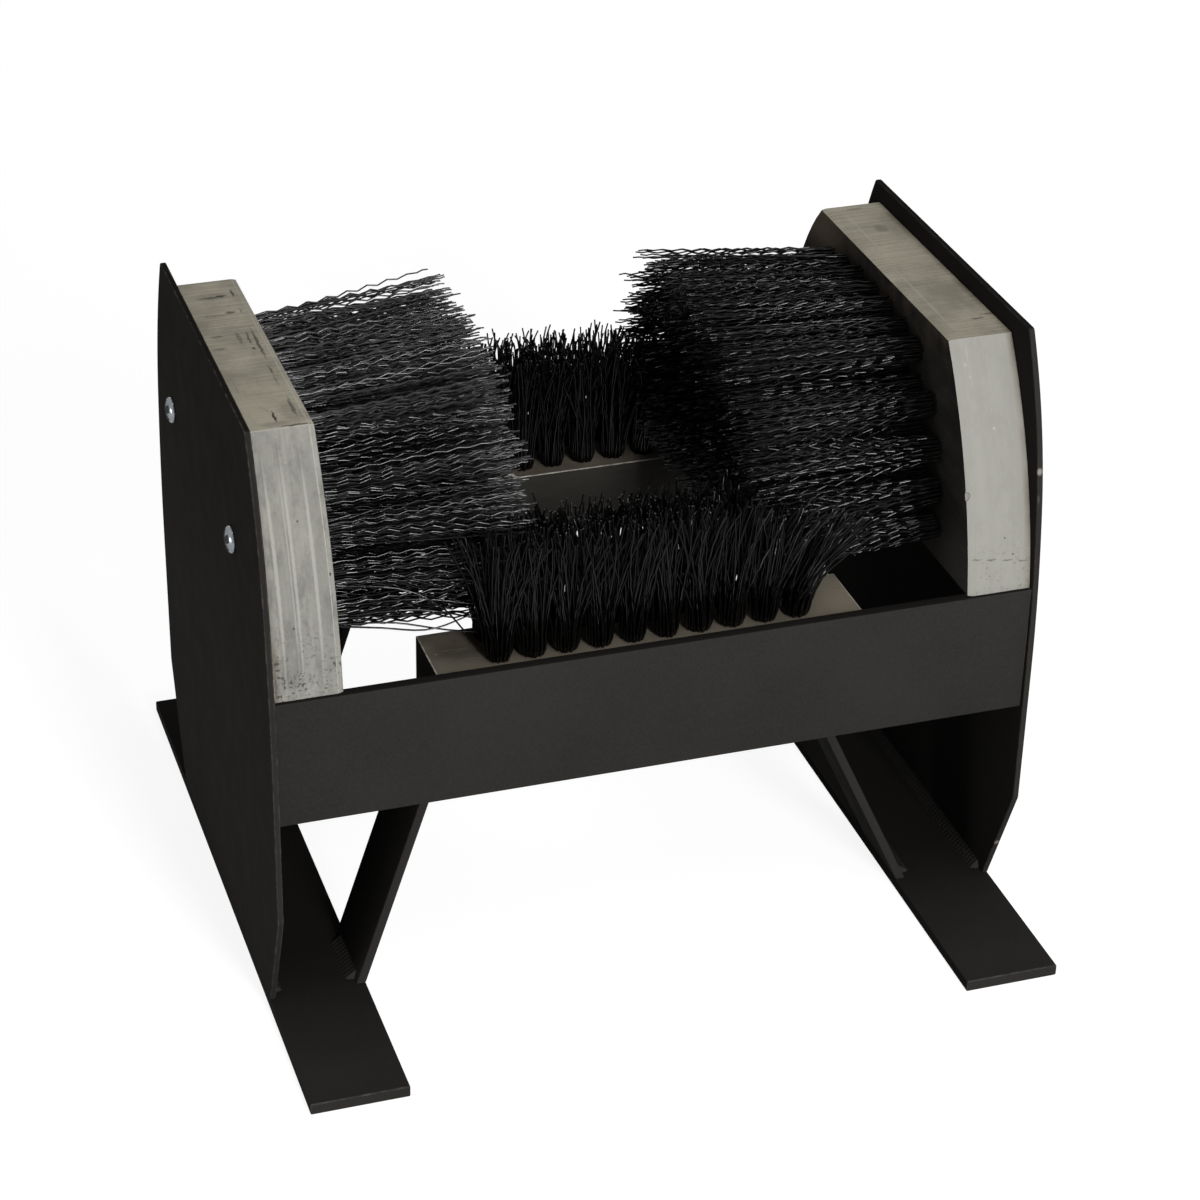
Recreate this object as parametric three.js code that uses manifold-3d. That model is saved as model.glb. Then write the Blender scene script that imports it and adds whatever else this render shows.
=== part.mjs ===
// Boot scraper: two curved steel side plates on flat bar feet, tied by a front
// and a rear crossbar. Each side plate carries a board with long crimped
// bristles that point inwards, and two short boards with upright bristles
// stand on braces behind the crossbars.
// Millimetres. X runs along the crossbars, Y from front to back, Z up. The
// origin is on the ground, in the middle of the footprint.

import * as THREE from 'three';
import { mergeVertices } from 'three/addons/utils/BufferGeometryUtils.js';
import Module from 'manifold-3d';

const wasm = await Module();
wasm.setup();

// Frame sizes
const overallWidth = 400;
const footLength = 386;
const footWidth = 50.8;
const footThickness = 6.35;
const barEdgeRadius = 0.8;

const plateTop = 330;
const plateThickness = 3.2;
const plateEdgeBevel = 0.4;
const plateFootHalfLength = 105.5;
const plateHalfLength = 132;
const plateTaperTop = 72;
const plateCurveDrop = 178;
const plateShoulderDrop = 85;
const plateLowerRadius = 668;
const plateUpperRadius = 266;
const plateTopCornerRadius = 2;

const crossbarTop = 198;
const crossbarHeight = 70;
const crossbarThickness = 6.35;
const crossbarInset = 2.5;

// Braces and the rails they carry
const braceWidth = 45;
const braceThickness = 4.8;
const leftBraceSetback = 7.5;
const rightBraceSetback = 15;
const leftBraceRailInset = 10.4;
const rightBraceRailInset = 30.3;
const railThickness = 4.8;

// Boards
const sideBoardThickness = 32.4;
const sideBoardTopDrop = 10;
const sideBoardFrontInset = 2.8;
const sideBoardFrontRadius = 270;
const sideBoardFrontCurveDrop = 154.4;
const sideBoardRearInset = 5;
const sideBoardRearCurveDrop = 90;
const sideBoardRearSetback = 37;
const sideBoardBevel = 0.5;
const sideBackingThickness = 2;

const bottomBoardLength = 224;
const bottomBoardWidth = 40.5;
const bottomBoardDrop = 8;
const bottomBoardHeight = 34;
const bottomBoardGap = 10;
const bottomBackingThickness = 3;

// Bristles
const sideStrandReach = 108;
const sideStrandUnevenness = 3;
const sideStrandRadius = 1.7;
const sideStrandTipRadius = 1.1;
const sideStrandSteps = 4;
const sideStrandCrimp = 1.8;
const sideStrandColumnSteps = 8;
const sideStrandPitchZ = 9;
const sideFieldEndInset = 28;
const sideFieldBottomInset = 10;
const sideFieldTopInset = 12;

const tuftCount = 10;
const tuftEndInset = 33.7;
const tuftRowSpacing = 17.5;
const tuftStrands = 3;
const tuftRootRadius = 3.2;
const tuftTipRadius = 4.2;
const tuftHeight = 70;
const tuftUnevenness = 2.5;
const tuftStretch = 1.5;
const tuftTurn = 0.25;
const tuftFan = 9;
const tuftStrandRadius = 1.5;
const tuftStrandTipRadius = 0.9;
const tuftStrandSteps = 2;
const tuftStrandCrimp = 0.7;
const strandSides = 3;
const strandSink = 1;

// Screws and welds
const screwHeadRadius = 7;
const screwHeadHeight = 4.2;
const screwHeadCrown = 2.4;
const screwShankRadius = 2.6;
const screwPointRadius = 1;
const screwPointLength = 5;
const screwLength = 27;
const screwHoleClearance = 0.3;
const screwHoleExtraDepth = 1;
const screwSegments = 16;
const screwCrownSteps = 4;
const recessWidth = 1.7;
const recessLength = 7.4;
const recessDepth = 2.3;
const plateScrewDrop = 6;
const plateScrewFrontY = -61.5;
const plateScrewRearY = 82.4;
const railScrewInset = 52;

const weldLeg = 4;
const weldEndSetback = 5;
const weldClearance = 0.02;

// Fineness of the meshes
const barCornerSteps = 2;
const plateLowerSteps = 8;
const plateUpperSteps = 12;
const plateCornerSteps = 3;
const sideBoardSteps = 12;
const mergeDistance = 1e-5;
const countRounding = 1e-6;
const cutterOverrun = 1;

// Sizes that follow from the ones above
const plateOuterX = overallWidth / 2;
const plateInnerX = plateOuterX - plateThickness;
const footInnerX = plateOuterX - footWidth;
const crossbarFrontY = -plateHalfLength + crossbarInset;
const crossbarBackY = crossbarFrontY + crossbarThickness;
const crossbarBottom = crossbarTop - crossbarHeight;
const sideBoardInnerX = plateInnerX - sideBoardThickness;
const sideBackingInnerX = sideBoardInnerX - sideBackingThickness;
const sideBoardTop = plateTop - sideBoardTopDrop;
const sideBoardRearRadius =
  (sideBoardRearCurveDrop ** 2 + sideBoardRearSetback ** 2) / (2 * sideBoardRearSetback);
const bottomBoardTop = crossbarTop - bottomBoardDrop;
const bottomBoardFrontY = crossbarBackY + bottomBoardGap;
const bottomBoardBackY = bottomBoardFrontY + bottomBoardWidth;
const bottomBoardBase = bottomBoardTop - bottomBoardHeight;
const bottomBoardCentre = -(bottomBoardFrontY + bottomBoardBackY) / 2;
const bottomBoardHalf = bottomBoardLength / 2;
const tuftHalfRun = bottomBoardHalf - tuftEndInset;
const tuftPitch = 2 * tuftHalfRun / (tuftCount - 1);
const railScrewX = bottomBoardHalf - railScrewInset;
const railBottom = bottomBoardBase - railThickness;
const braceRise = railBottom - footThickness;
const plateScrewZ = (crossbarTop + sideBoardTop) / 2 - plateScrewDrop;
const screwHoleRadius = screwShankRadius + screwHoleClearance;

const blackPaint = { color: 0x2b2927, roughness: 0.55, metalness: 0.35 };
const sawnBoard = { color: 0xa9aaa0, roughness: 0.85, metalness: 0 };
const bristleBlack = { color: 0x0c0c0c, roughness: 0.35, metalness: 0 };
const zincPlate = { color: 0xc4c7cb, roughness: 0.28, metalness: 1 };

const part = new THREE.Group();

function addMesh(name, geometry, finish) {
  const mesh = new THREE.Mesh(geometry, new THREE.MeshStandardMaterial(finish));
  mesh.name = name;
  part.add(mesh);
}

// Closed solid with its shared vertices merged and no flattened triangles
function toSolid(geometry) {
  const bare = geometry.clone();
  bare.deleteAttribute('normal');
  bare.deleteAttribute('uv');
  const welded = mergeVertices(bare, mergeDistance);
  const triangles = [];
  for (let i = 0; i < welded.index.count; i += 3) {
    const [a, b, c] = welded.index.array.slice(i, i + 3);
    if (a !== b && b !== c && c !== a) triangles.push(a, b, c);
  }
  return new wasm.Manifold(new wasm.Mesh({
    numProp: 3,
    vertProperties: new Float32Array(welded.attributes.position.array),
    triVerts: new Uint32Array(triangles),
  }));
}

function toGeometry(solid) {
  const mesh = solid.getMesh();
  const geometry = new THREE.BufferGeometry();
  geometry.setAttribute('position', new THREE.BufferAttribute(mesh.vertProperties, 3));
  geometry.setIndex(new THREE.BufferAttribute(mesh.triVerts, 1));
  geometry.computeVertexNormals();
  return geometry;
}

// An outline drawn in Y and Z, made solid from xStart towards +X
function extrudeAlongX(shape, xStart, length, bevel = 0) {
  const geometry = new THREE.ExtrudeGeometry(shape, {
    depth: length - 2 * bevel,
    bevelEnabled: bevel > 0,
    bevelThickness: bevel,
    bevelSize: bevel,
    bevelOffset: -bevel,
    bevelSegments: 1,
  });
  geometry.translate(0, 0, bevel);
  const toYZ = new THREE.Matrix4().set(0, 0, 1, 0, 1, 0, 0, 0, 0, 1, 0, 0, 0, 0, 0, 1);
  geometry.applyMatrix4(toYZ);
  geometry.translate(xStart, 0, 0);
  return geometry;
}

// An outline drawn in X and Z, made solid from yStart towards +Y
function extrudeAlongY(shape, yStart, length) {
  const geometry = new THREE.ExtrudeGeometry(shape, { depth: length, bevelEnabled: false });
  geometry.rotateX(Math.PI / 2);
  geometry.translate(0, yStart + length, 0);
  return geometry;
}

function boxBetween(x0, x1, y0, y1, z0, z1) {
  const geometry = new THREE.BoxGeometry(x1 - x0, y1 - y0, z1 - z0);
  geometry.translate((x0 + x1) / 2, (y0 + y1) / 2, (z0 + z1) / 2);
  return geometry;
}

// Rectangle with the softly rounded corners of rolled bar
function barSection(x0, x1, y0, y1) {
  const r = barEdgeRadius;
  const shape = new THREE.Shape();
  shape.moveTo(x0 + r, y0);
  shape.lineTo(x1 - r, y0);
  shape.absarc(x1 - r, y0 + r, r, -Math.PI / 2, 0);
  shape.lineTo(x1, y1 - r);
  shape.absarc(x1 - r, y1 - r, r, 0, Math.PI / 2);
  shape.lineTo(x0 + r, y1);
  shape.absarc(x0 + r, y1 - r, r, Math.PI / 2, Math.PI);
  shape.lineTo(x0, y0 + r);
  shape.absarc(x0 + r, y0 + r, r, Math.PI, 3 * Math.PI / 2);
  return new THREE.Shape(shape.getPoints(barCornerSteps));
}

// A half outline in (half length, height), mirrored into a closed one
function mirroredOutline(halfPoints) {
  const right = halfPoints.map((p) => new THREE.Vector2(p.x, p.y));
  const left = halfPoints.map((p) => new THREE.Vector2(-p.x, p.y)).reverse();
  return new THREE.Shape([...right, ...left]);
}

function arcPoints(cx, cz, radius, startAngle, endAngle, steps) {
  const points = [];
  for (let i = 0; i <= steps; i += 1) {
    const angle = startAngle + (endAngle - startAngle) * i / steps;
    points.push(new THREE.Vector2(cx + radius * Math.cos(angle), cz + radius * Math.sin(angle)));
  }
  return points;
}

// Side plate: straight taper up from the foot, an upright middle, then two
// arcs that bend in towards a flat top edge
function plateOutline() {
  const curveStart = plateTop - plateCurveDrop;
  const shoulder = plateTop - plateShoulderDrop;
  const lowerX = plateHalfLength - plateLowerRadius;
  const shoulderAngle = Math.asin((shoulder - curveStart) / plateLowerRadius);
  const upperX = lowerX + (plateLowerRadius - plateUpperRadius) * Math.cos(shoulderAngle);
  const upperZ = shoulder - plateUpperRadius * Math.sin(shoulderAngle);
  const r = plateTopCornerRadius;
  const topAngle = Math.asin((plateTop - r - upperZ) / (plateUpperRadius - r));
  const cornerX = upperX + (plateUpperRadius - r) * Math.cos(topAngle);
  const points = [
    new THREE.Vector2(plateFootHalfLength, footThickness),
    new THREE.Vector2(plateHalfLength, plateTaperTop),
    ...arcPoints(lowerX, curveStart, plateLowerRadius, 0, shoulderAngle, plateLowerSteps),
    ...arcPoints(upperX, upperZ, plateUpperRadius, shoulderAngle, topAngle, plateUpperSteps).slice(1),
    ...arcPoints(cornerX, plateTop - r, r, topAngle, Math.PI / 2, plateCornerSteps).slice(1),
  ];
  return mirroredOutline(points);
}

// How far an end of the side boards lies from the middle at height z. The end
// is upright below curveStart and bends in above it.
function sideBoardReach(z, inset, curveStart, radius) {
  const rise = Math.max(0, z - curveStart);
  return plateHalfLength - inset - radius + Math.sqrt(radius ** 2 - rise ** 2);
}

function sideBoardFront(z) {
  const curveStart = sideBoardTop - sideBoardFrontCurveDrop;
  return -sideBoardReach(z, sideBoardFrontInset, curveStart, sideBoardFrontRadius);
}

function sideBoardRear(z) {
  const curveStart = sideBoardTop - sideBoardRearCurveDrop;
  return sideBoardReach(z, sideBoardRearInset, curveStart, sideBoardRearRadius);
}

// Points up one end of the side boards, with none inside its upright stretch
function sideBoardEnd(endAt, curveDrop) {
  const start = Math.max(crossbarTop, sideBoardTop - curveDrop);
  const points = start > crossbarTop ? [new THREE.Vector2(endAt(crossbarTop), crossbarTop)] : [];
  for (let i = 0; i <= sideBoardSteps; i += 1) {
    const z = start + (sideBoardTop - start) * i / sideBoardSteps;
    points.push(new THREE.Vector2(endAt(z), z));
  }
  return points;
}

function sideBoardOutline() {
  const front = sideBoardEnd(sideBoardFront, sideBoardFrontCurveDrop);
  const rear = sideBoardEnd(sideBoardRear, sideBoardRearCurveDrop);
  return new THREE.Shape([...rear, ...front.reverse()]);
}

// Pan head screw with a cross recess, its head underside at the origin and
// its shank along -Z
function screwGeometry() {
  const rim = screwHeadHeight - screwHeadCrown;
  const profile = [
    new THREE.Vector2(0, -screwLength),
    new THREE.Vector2(screwPointRadius, -screwLength),
    new THREE.Vector2(screwShankRadius, screwPointLength - screwLength),
    new THREE.Vector2(screwShankRadius, 0),
    new THREE.Vector2(screwHeadRadius, 0),
    new THREE.Vector2(screwHeadRadius, rim),
  ];
  for (let i = 1; i <= screwCrownSteps; i += 1) {
    const angle = (Math.PI / 2) * i / screwCrownSteps;
    const radius = i === screwCrownSteps ? 0 : screwHeadRadius * Math.cos(angle);
    profile.push(new THREE.Vector2(radius, rim + screwHeadCrown * Math.sin(angle)));
  }
  const body = new THREE.LatheGeometry(profile, screwSegments);
  body.rotateX(Math.PI / 2);
  const half = recessWidth / 2;
  const arm = recessLength / 2;
  const floor = screwHeadHeight - recessDepth;
  const above = screwHeadHeight + cutterOverrun;
  const armX = toSolid(boxBetween(-arm, arm, -half, half, floor, above));
  const armY = toSolid(boxBetween(-half, half, -arm, arm, floor, above));
  return toGeometry(toSolid(body).subtract(armX).subtract(armY));
}

// Round cutter for a screw hole, drilled from the origin along -Z
function holeGeometry(depth) {
  const length = depth + cutterOverrun;
  const geometry = new THREE.CylinderGeometry(screwHoleRadius, screwHoleRadius, length, screwSegments);
  geometry.rotateX(Math.PI / 2);
  geometry.translate(0, 0, cutterOverrun - length / 2);
  return geometry;
}

// Turns a screw or its hole so that +Z points out of the left or right plate
function faceOutward(geometry, side, y) {
  geometry.rotateY(side * Math.PI / 2);
  geometry.translate(side * plateOuterX, y, plateScrewZ);
  return geometry;
}

// Bristle: a thin tapered prism through a list of centres, ends closed.
// across and up are the two directions of its cross section.
function strandGeometry(centres, across, up, rootRadius, tipRadius) {
  const positions = [];
  const index = [];
  const last = centres.length - 1;
  centres.forEach((centre, ring) => {
    const radius = rootRadius + (tipRadius - rootRadius) * ring / last;
    for (let k = 0; k < strandSides; k += 1) {
      const angle = 2 * Math.PI * k / strandSides;
      const corner = centre.clone();
      corner.addScaledVector(across, radius * Math.cos(angle));
      corner.addScaledVector(up, radius * Math.sin(angle));
      positions.push(corner.x, corner.y, corner.z);
    }
  });
  for (let ring = 0; ring < last; ring += 1) {
    for (let k = 0; k < strandSides; k += 1) {
      const a = ring * strandSides + k;
      const b = ring * strandSides + (k + 1) % strandSides;
      index.push(a, b, b + strandSides, a, b + strandSides, a + strandSides);
    }
  }
  const tip = last * strandSides;
  for (let k = 1; k < strandSides - 1; k += 1) {
    index.push(0, k + 1, k);
    index.push(tip, tip + k, tip + k + 1);
  }
  const geometry = new THREE.BufferGeometry();
  geometry.setAttribute('position', new THREE.Float32BufferAttribute(positions, 3));
  geometry.setIndex(index);
  return geometry;
}

// Small repeatable variation between -1 and 1
function vary(seed) {
  const value = Math.sin(seed * 12.9898) * 43758.5453;
  return 2 * (value - Math.floor(value)) - 1;
}

// Joins strands to the slice of board they are set in
function fuseStrands(backing, strands) {
  const solids = strands.map((strand) => toSolid(strand));
  const brush = solids.reduce((sum, solid) => sum.add(solid), toSolid(backing));
  return toGeometry(brush);
}

// Where the side bristles stand along Y at height z. The outermost column at
// each end runs between the two rows of bottom tufts, and the others are
// spread evenly between the tufts at the front and rear.
function sideColumns(z) {
  const innerEnd = bottomBoardCentre - tuftRowSpacing;
  const columns = [-bottomBoardCentre];
  for (let i = 0; i <= sideStrandColumnSteps; i += 1) {
    columns.push(innerEnd * (2 * i / sideStrandColumnSteps - 1));
  }
  columns.push(bottomBoardCentre);
  const front = sideBoardFront(z) + sideFieldEndInset;
  const rear = sideBoardRear(z) - sideFieldEndInset;
  return columns.filter((y) => y >= front && y <= rear);
}

// Long crimped bristles in rows on the inner face of one side board
function sideStrands(side) {
  const strands = [];
  const across = new THREE.Vector3(0, side, 0);
  const up = new THREE.Vector3(0, 0, -1);
  const bottom = Math.max(crossbarTop, bottomBoardTop) + sideFieldBottomInset;
  const top = sideBoardTop - sideFieldTopInset;
  const rows = Math.floor((top - bottom) / sideStrandPitchZ + countRounding);
  for (let row = 0; row <= rows; row += 1) {
    const z = bottom + row * sideStrandPitchZ;
    for (const y of sideColumns(z)) {
      const reach = sideStrandReach + sideStrandUnevenness * vary(row * 31 + y + side);
      const centres = [];
      for (let step = 0; step <= sideStrandSteps; step += 1) {
        const along = -strandSink + (reach + strandSink) * step / sideStrandSteps;
        const wave = step === 0 ? 0 : sideStrandCrimp * (step % 2 === 0 ? 1 : -1);
        const x = side * (sideBackingInnerX - along);
        centres.push(new THREE.Vector3(x, y, z + wave));
      }
      strands.push(strandGeometry(centres, across, up, sideStrandRadius, sideStrandTipRadius));
    }
  }
  return strands;
}

// Upright tufts in two rows on one bottom board, fanning out at its ends
function bottomStrands(boardCentreY) {
  const strands = [];
  const across = new THREE.Vector3(1, 0, 0);
  const up = new THREE.Vector3(0, 1, 0);
  for (const rowOffset of [-tuftRowSpacing / 2, tuftRowSpacing / 2]) {
    for (let i = 0; i < tuftCount; i += 1) {
      const x = i * tuftPitch - tuftHalfRun;
      for (let k = 0; k < tuftStrands; k += 1) {
        const angle = 2 * Math.PI * (k + tuftTurn) / tuftStrands;
        const height = tuftHeight + tuftUnevenness * vary(i * 17 + k * 5 + rowOffset);
        const centres = [];
        for (let step = 0; step <= tuftStrandSteps; step += 1) {
          const t = step / tuftStrandSteps;
          const spread = tuftRootRadius + (tuftTipRadius - tuftRootRadius) * t;
          const crimp = step === 1 ? tuftStrandCrimp : 0;
          const fan = tuftFan * (x / tuftHalfRun) * t;
          centres.push(new THREE.Vector3(
            x + fan + crimp + tuftStretch * spread * Math.cos(angle),
            boardCentreY + rowOffset + spread * Math.sin(angle),
            bottomBoardTop - strandSink + (height + strandSink) * t,
          ));
        }
        strands.push(strandGeometry(centres, across, up, tuftStrandRadius, tuftStrandTipRadius));
      }
    }
  }
  return strands;
}

// Lean of a brace from upright, so that its inner face runs from the foot's
// inner edge to the rail, railInset in from the rail's end
function braceLean(railInset) {
  return Math.atan2(footInnerX - (bottomBoardHalf - railInset), braceRise);
}

// Flat bar that leans in from the foot's inner edge, cut level on the foot
// and under the rail
function braceGeometry(side, lean, y0, y1) {
  const spare = 2 * braceThickness;
  const length = braceRise / Math.cos(lean) + 2 * spare;
  const outer = side * braceThickness;
  const section = barSection(Math.min(0, outer), Math.max(0, outer), y0, y1);
  const bar = new THREE.ExtrudeGeometry(section, { depth: length, bevelEnabled: false });
  bar.translate(0, 0, -spare);
  bar.rotateY(-side * lean);
  bar.translate(side * footInnerX, 0, footThickness);
  const slab = boxBetween(-plateOuterX, plateOuterX, -footLength, footLength, footThickness, railBottom);
  return toGeometry(toSolid(bar).intersect(toSolid(slab)));
}

// Bead in the corner between the foot and the outer face of a brace
function footWeldCorners(side, lean) {
  const x = side * (footInnerX + braceThickness / Math.cos(lean) + weldClearance);
  return [
    new THREE.Vector2(x, footThickness),
    new THREE.Vector2(x + side * weldLeg, footThickness),
    new THREE.Vector2(x - side * weldLeg * Math.sin(lean), footThickness + weldLeg * Math.cos(lean)),
  ];
}

// Bead in the corner between the rail and the inner face of a brace
function railWeldCorners(side, lean) {
  const x = side * (footInnerX - braceRise * Math.tan(lean) - weldClearance);
  return [
    new THREE.Vector2(x, railBottom),
    new THREE.Vector2(x - side * weldLeg, railBottom),
    new THREE.Vector2(x + side * weldLeg * Math.sin(lean), railBottom - weldLeg * Math.cos(lean)),
  ];
}

// Triangular weld bead drawn by its three corners in X and Z
function weldAlongY(corners, yStart, length) {
  return extrudeAlongY(new THREE.Shape(corners), yStart, length);
}

// Feet, side plates, side boards, their bristles, screws and plate welds
for (const [sideName, side] of [['left', -1], ['right', 1]]) {
  const x0 = Math.min(side * footInnerX, side * plateOuterX);
  const footShape = barSection(x0, x0 + footWidth, 0, footThickness);
  addMesh(`${sideName}_foot`, extrudeAlongY(footShape, -footLength / 2, footLength), blackPaint);

  const plateX = Math.min(side * plateInnerX, side * plateOuterX);
  let plate = toSolid(extrudeAlongX(plateOutline(), plateX, plateThickness, plateEdgeBevel));
  const boardX = Math.min(side * sideBoardInnerX, side * plateInnerX);
  const boardShape = sideBoardOutline();
  let board = toSolid(extrudeAlongX(boardShape, boardX, sideBoardThickness, sideBoardBevel));

  for (const [placeName, y] of [['front', plateScrewFrontY], ['rear', plateScrewRearY]]) {
    const drill = toSolid(faceOutward(holeGeometry(screwLength + screwHoleExtraDepth), side, y));
    plate = plate.subtract(drill);
    board = board.subtract(drill);
    addMesh(`${sideName}_${placeName}_plate_screw`, faceOutward(screwGeometry(), side, y), zincPlate);
  }
  addMesh(`${sideName}_side_plate`, toGeometry(plate), blackPaint);
  addMesh(`${sideName}_brush_board`, toGeometry(board), sawnBoard);

  const backingX = Math.min(side * sideBackingInnerX, side * sideBoardInnerX);
  const backing = extrudeAlongX(boardShape, backingX, sideBackingThickness);
  addMesh(`${sideName}_bristles`, fuseStrands(backing, sideStrands(side)), bristleBlack);

  const plateWeld = [
    new THREE.Vector2(side * plateInnerX, footThickness),
    new THREE.Vector2(side * (plateInnerX - weldLeg), footThickness),
    new THREE.Vector2(side * plateInnerX, footThickness + weldLeg),
  ];
  const weldHalf = plateFootHalfLength - weldEndSetback;
  addMesh(`${sideName}_plate_weld`, weldAlongY(plateWeld, -weldHalf, 2 * weldHalf), blackPaint);
}

// Crossbars, bottom boards on their rails and braces, tufts and welds
for (const [endName, end] of [['front', 1], ['rear', -1]]) {
  // Everything is drawn for the front and mirrored to the rear by its Y range
  const yRange = (y0, y1) => (end === 1 ? [y0, y1] : [-y1, -y0]);

  const [barY0, barY1] = yRange(crossbarFrontY, crossbarBackY);
  const barShape = barSection(barY0, barY1, crossbarBottom, crossbarTop);
  addMesh(`${endName}_crossbar`, extrudeAlongX(barShape, -plateInnerX, 2 * plateInnerX), blackPaint);

  const [boardY0, boardY1] = yRange(bottomBoardFrontY, bottomBoardBackY);
  const boardCentreY = (boardY0 + boardY1) / 2;
  const backingBase = bottomBoardTop - bottomBackingThickness;

  const railShape = barSection(boardY0, boardY1, railBottom, bottomBoardBase);
  let rail = toSolid(extrudeAlongX(railShape, -bottomBoardHalf, bottomBoardLength));
  const boardBox = (z0, z1) => boxBetween(-bottomBoardHalf, bottomBoardHalf, boardY0, boardY1, z0, z1);
  let board = toSolid(boardBox(bottomBoardBase, backingBase));
  for (const [sideName, side] of [['left', -1], ['right', 1]]) {
    const place = (geometry) => {
      geometry.rotateX(Math.PI);
      geometry.translate(side * railScrewX, boardCentreY, railBottom);
      return geometry;
    };
    const drill = toSolid(place(holeGeometry(screwLength + screwHoleExtraDepth)));
    rail = rail.subtract(drill);
    board = board.subtract(drill);
    addMesh(`${endName}_${sideName}_rail_screw`, place(screwGeometry()), zincPlate);
  }
  addMesh(`${endName}_rail`, toGeometry(rail), blackPaint);
  addMesh(`${endName}_brush_board`, toGeometry(board), sawnBoard);

  const backing = boardBox(backingBase, bottomBoardTop);
  addMesh(`${endName}_bristles`, fuseStrands(backing, bottomStrands(boardCentreY)), bristleBlack);

  const braces = [
    ['left', -1, leftBraceSetback, leftBraceRailInset],
    ['right', 1, rightBraceSetback, rightBraceRailInset],
  ];
  for (const [sideName, side, setback, railInset] of braces) {
    const lean = braceLean(railInset);
    const frontY = bottomBoardFrontY + setback;
    const [braceY0, braceY1] = yRange(frontY, frontY + braceWidth);
    const [seatY0, seatY1] = [Math.max(boardY0, braceY0), Math.min(boardY1, braceY1)];
    const name = `${endName}_${sideName}`;
    addMesh(`${name}_brace`, braceGeometry(side, lean, braceY0, braceY1), blackPaint);

    const footY = braceY0 + weldEndSetback;
    const footRun = braceWidth - 2 * weldEndSetback;
    addMesh(`${name}_foot_weld`, weldAlongY(footWeldCorners(side, lean), footY, footRun), blackPaint);
    const railY = seatY0 + weldEndSetback;
    const railRun = seatY1 - seatY0 - 2 * weldEndSetback;
    addMesh(`${name}_rail_weld`, weldAlongY(railWeldCorners(side, lean), railY, railRun), blackPaint);

    const cornerShape = new THREE.Shape([
      new THREE.Vector2(side * plateInnerX, end * crossbarBackY),
      new THREE.Vector2(side * (plateInnerX - weldLeg), end * crossbarBackY),
      new THREE.Vector2(side * plateInnerX, end * (crossbarBackY + weldLeg)),
    ]);
    const cornerRun = crossbarHeight - 2 * weldEndSetback;
    const cornerWeld = new THREE.ExtrudeGeometry(cornerShape, { depth: cornerRun, bevelEnabled: false });
    cornerWeld.translate(0, 0, crossbarBottom + weldEndSetback);
    addMesh(`${name}_crossbar_weld`, cornerWeld, blackPaint);
  }
}

export default part;
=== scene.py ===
import math
import random

import bmesh
import bpy
from bpy.props import FloatProperty, FloatVectorProperty, IntProperty, PointerProperty
from mathutils import Euler, Matrix, Vector


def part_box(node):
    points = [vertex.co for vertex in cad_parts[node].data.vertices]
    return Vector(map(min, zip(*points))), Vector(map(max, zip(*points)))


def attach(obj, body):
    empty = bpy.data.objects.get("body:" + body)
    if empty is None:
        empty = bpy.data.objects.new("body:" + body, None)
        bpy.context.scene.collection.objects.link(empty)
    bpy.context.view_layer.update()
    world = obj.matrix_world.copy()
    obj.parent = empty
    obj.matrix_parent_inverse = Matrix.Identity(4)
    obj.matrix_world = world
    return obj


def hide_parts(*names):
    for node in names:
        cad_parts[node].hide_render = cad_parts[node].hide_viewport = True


bl_info = {
    "name": "Boot scraper",
    "version": (1, 0, 0),
    "blender": (4, 5, 0),
    "location": "3D View > Sidebar > Scraper",
    "description": "Dresses the welded frame of a boot scraper with boards, bristles, welds and screws",
    "category": "Object",
}

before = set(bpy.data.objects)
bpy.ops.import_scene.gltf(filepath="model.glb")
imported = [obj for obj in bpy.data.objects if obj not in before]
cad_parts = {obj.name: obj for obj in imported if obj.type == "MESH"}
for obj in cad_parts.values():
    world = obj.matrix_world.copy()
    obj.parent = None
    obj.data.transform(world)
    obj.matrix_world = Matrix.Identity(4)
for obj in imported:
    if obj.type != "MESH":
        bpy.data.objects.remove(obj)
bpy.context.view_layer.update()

SIDES = (("left", -1), ("right", 1))
ENDS = (("front", -1), ("rear", 1))
STEEL_NODES = ("foot", "side_plate", "crossbar", "brace", "rail")
GOLDEN_ANGLE = math.pi * (3 - math.sqrt(5))
MERGE_DISTANCE = 1e-6
FLAT_ANGLE = math.radians(0.1)
CURVE_ANGLE = math.radians(14)
CORNER_ANGLE = math.radians(30)
MM = 0.001
TOUCHING = 0.0001

# Steps that corners, screw heads, weld ripples and upright strands are drawn with
CORNER_STEPS = 3
WORN_CORNER_STEPS = 5
TURNING_STEPS = 64
CROWN_STEPS = 12
RIPPLE_STEPS = 4
UPRIGHT_STEPS = 15

# Thickness of the slices of board that the solids' side and bottom tufts stand in
SIDE_FACING = 0.002
BOTTOM_FACING = 0.003

# The rounded field of side tufts: how far below its lowest row it starts, and the power of its curve
FIELD_START = 0.019
FIELD_POWER = 2.7

# The side tufts lean away from this height and spread out this many times towards their tips.
# No tip in them hangs lower than this, or rises further above its root.
FIELD_CENTRE_HEIGHT = 0.262
SIDE_SPREAD = 2.05
LOWEST_TIP = 0.2070
TIP_RISE = 0.010

# How deep strands start inside their board and how clear they stand of their hole's wall,
# and the crimped part of a side strand's length
ROOT_DEPTH = 0.0012
SIDE_CLEARANCE = 0.0006
BOTTOM_CLEARANCE = 0.0004
CRIMPED_PART = (0.07, 0.94)

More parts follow.
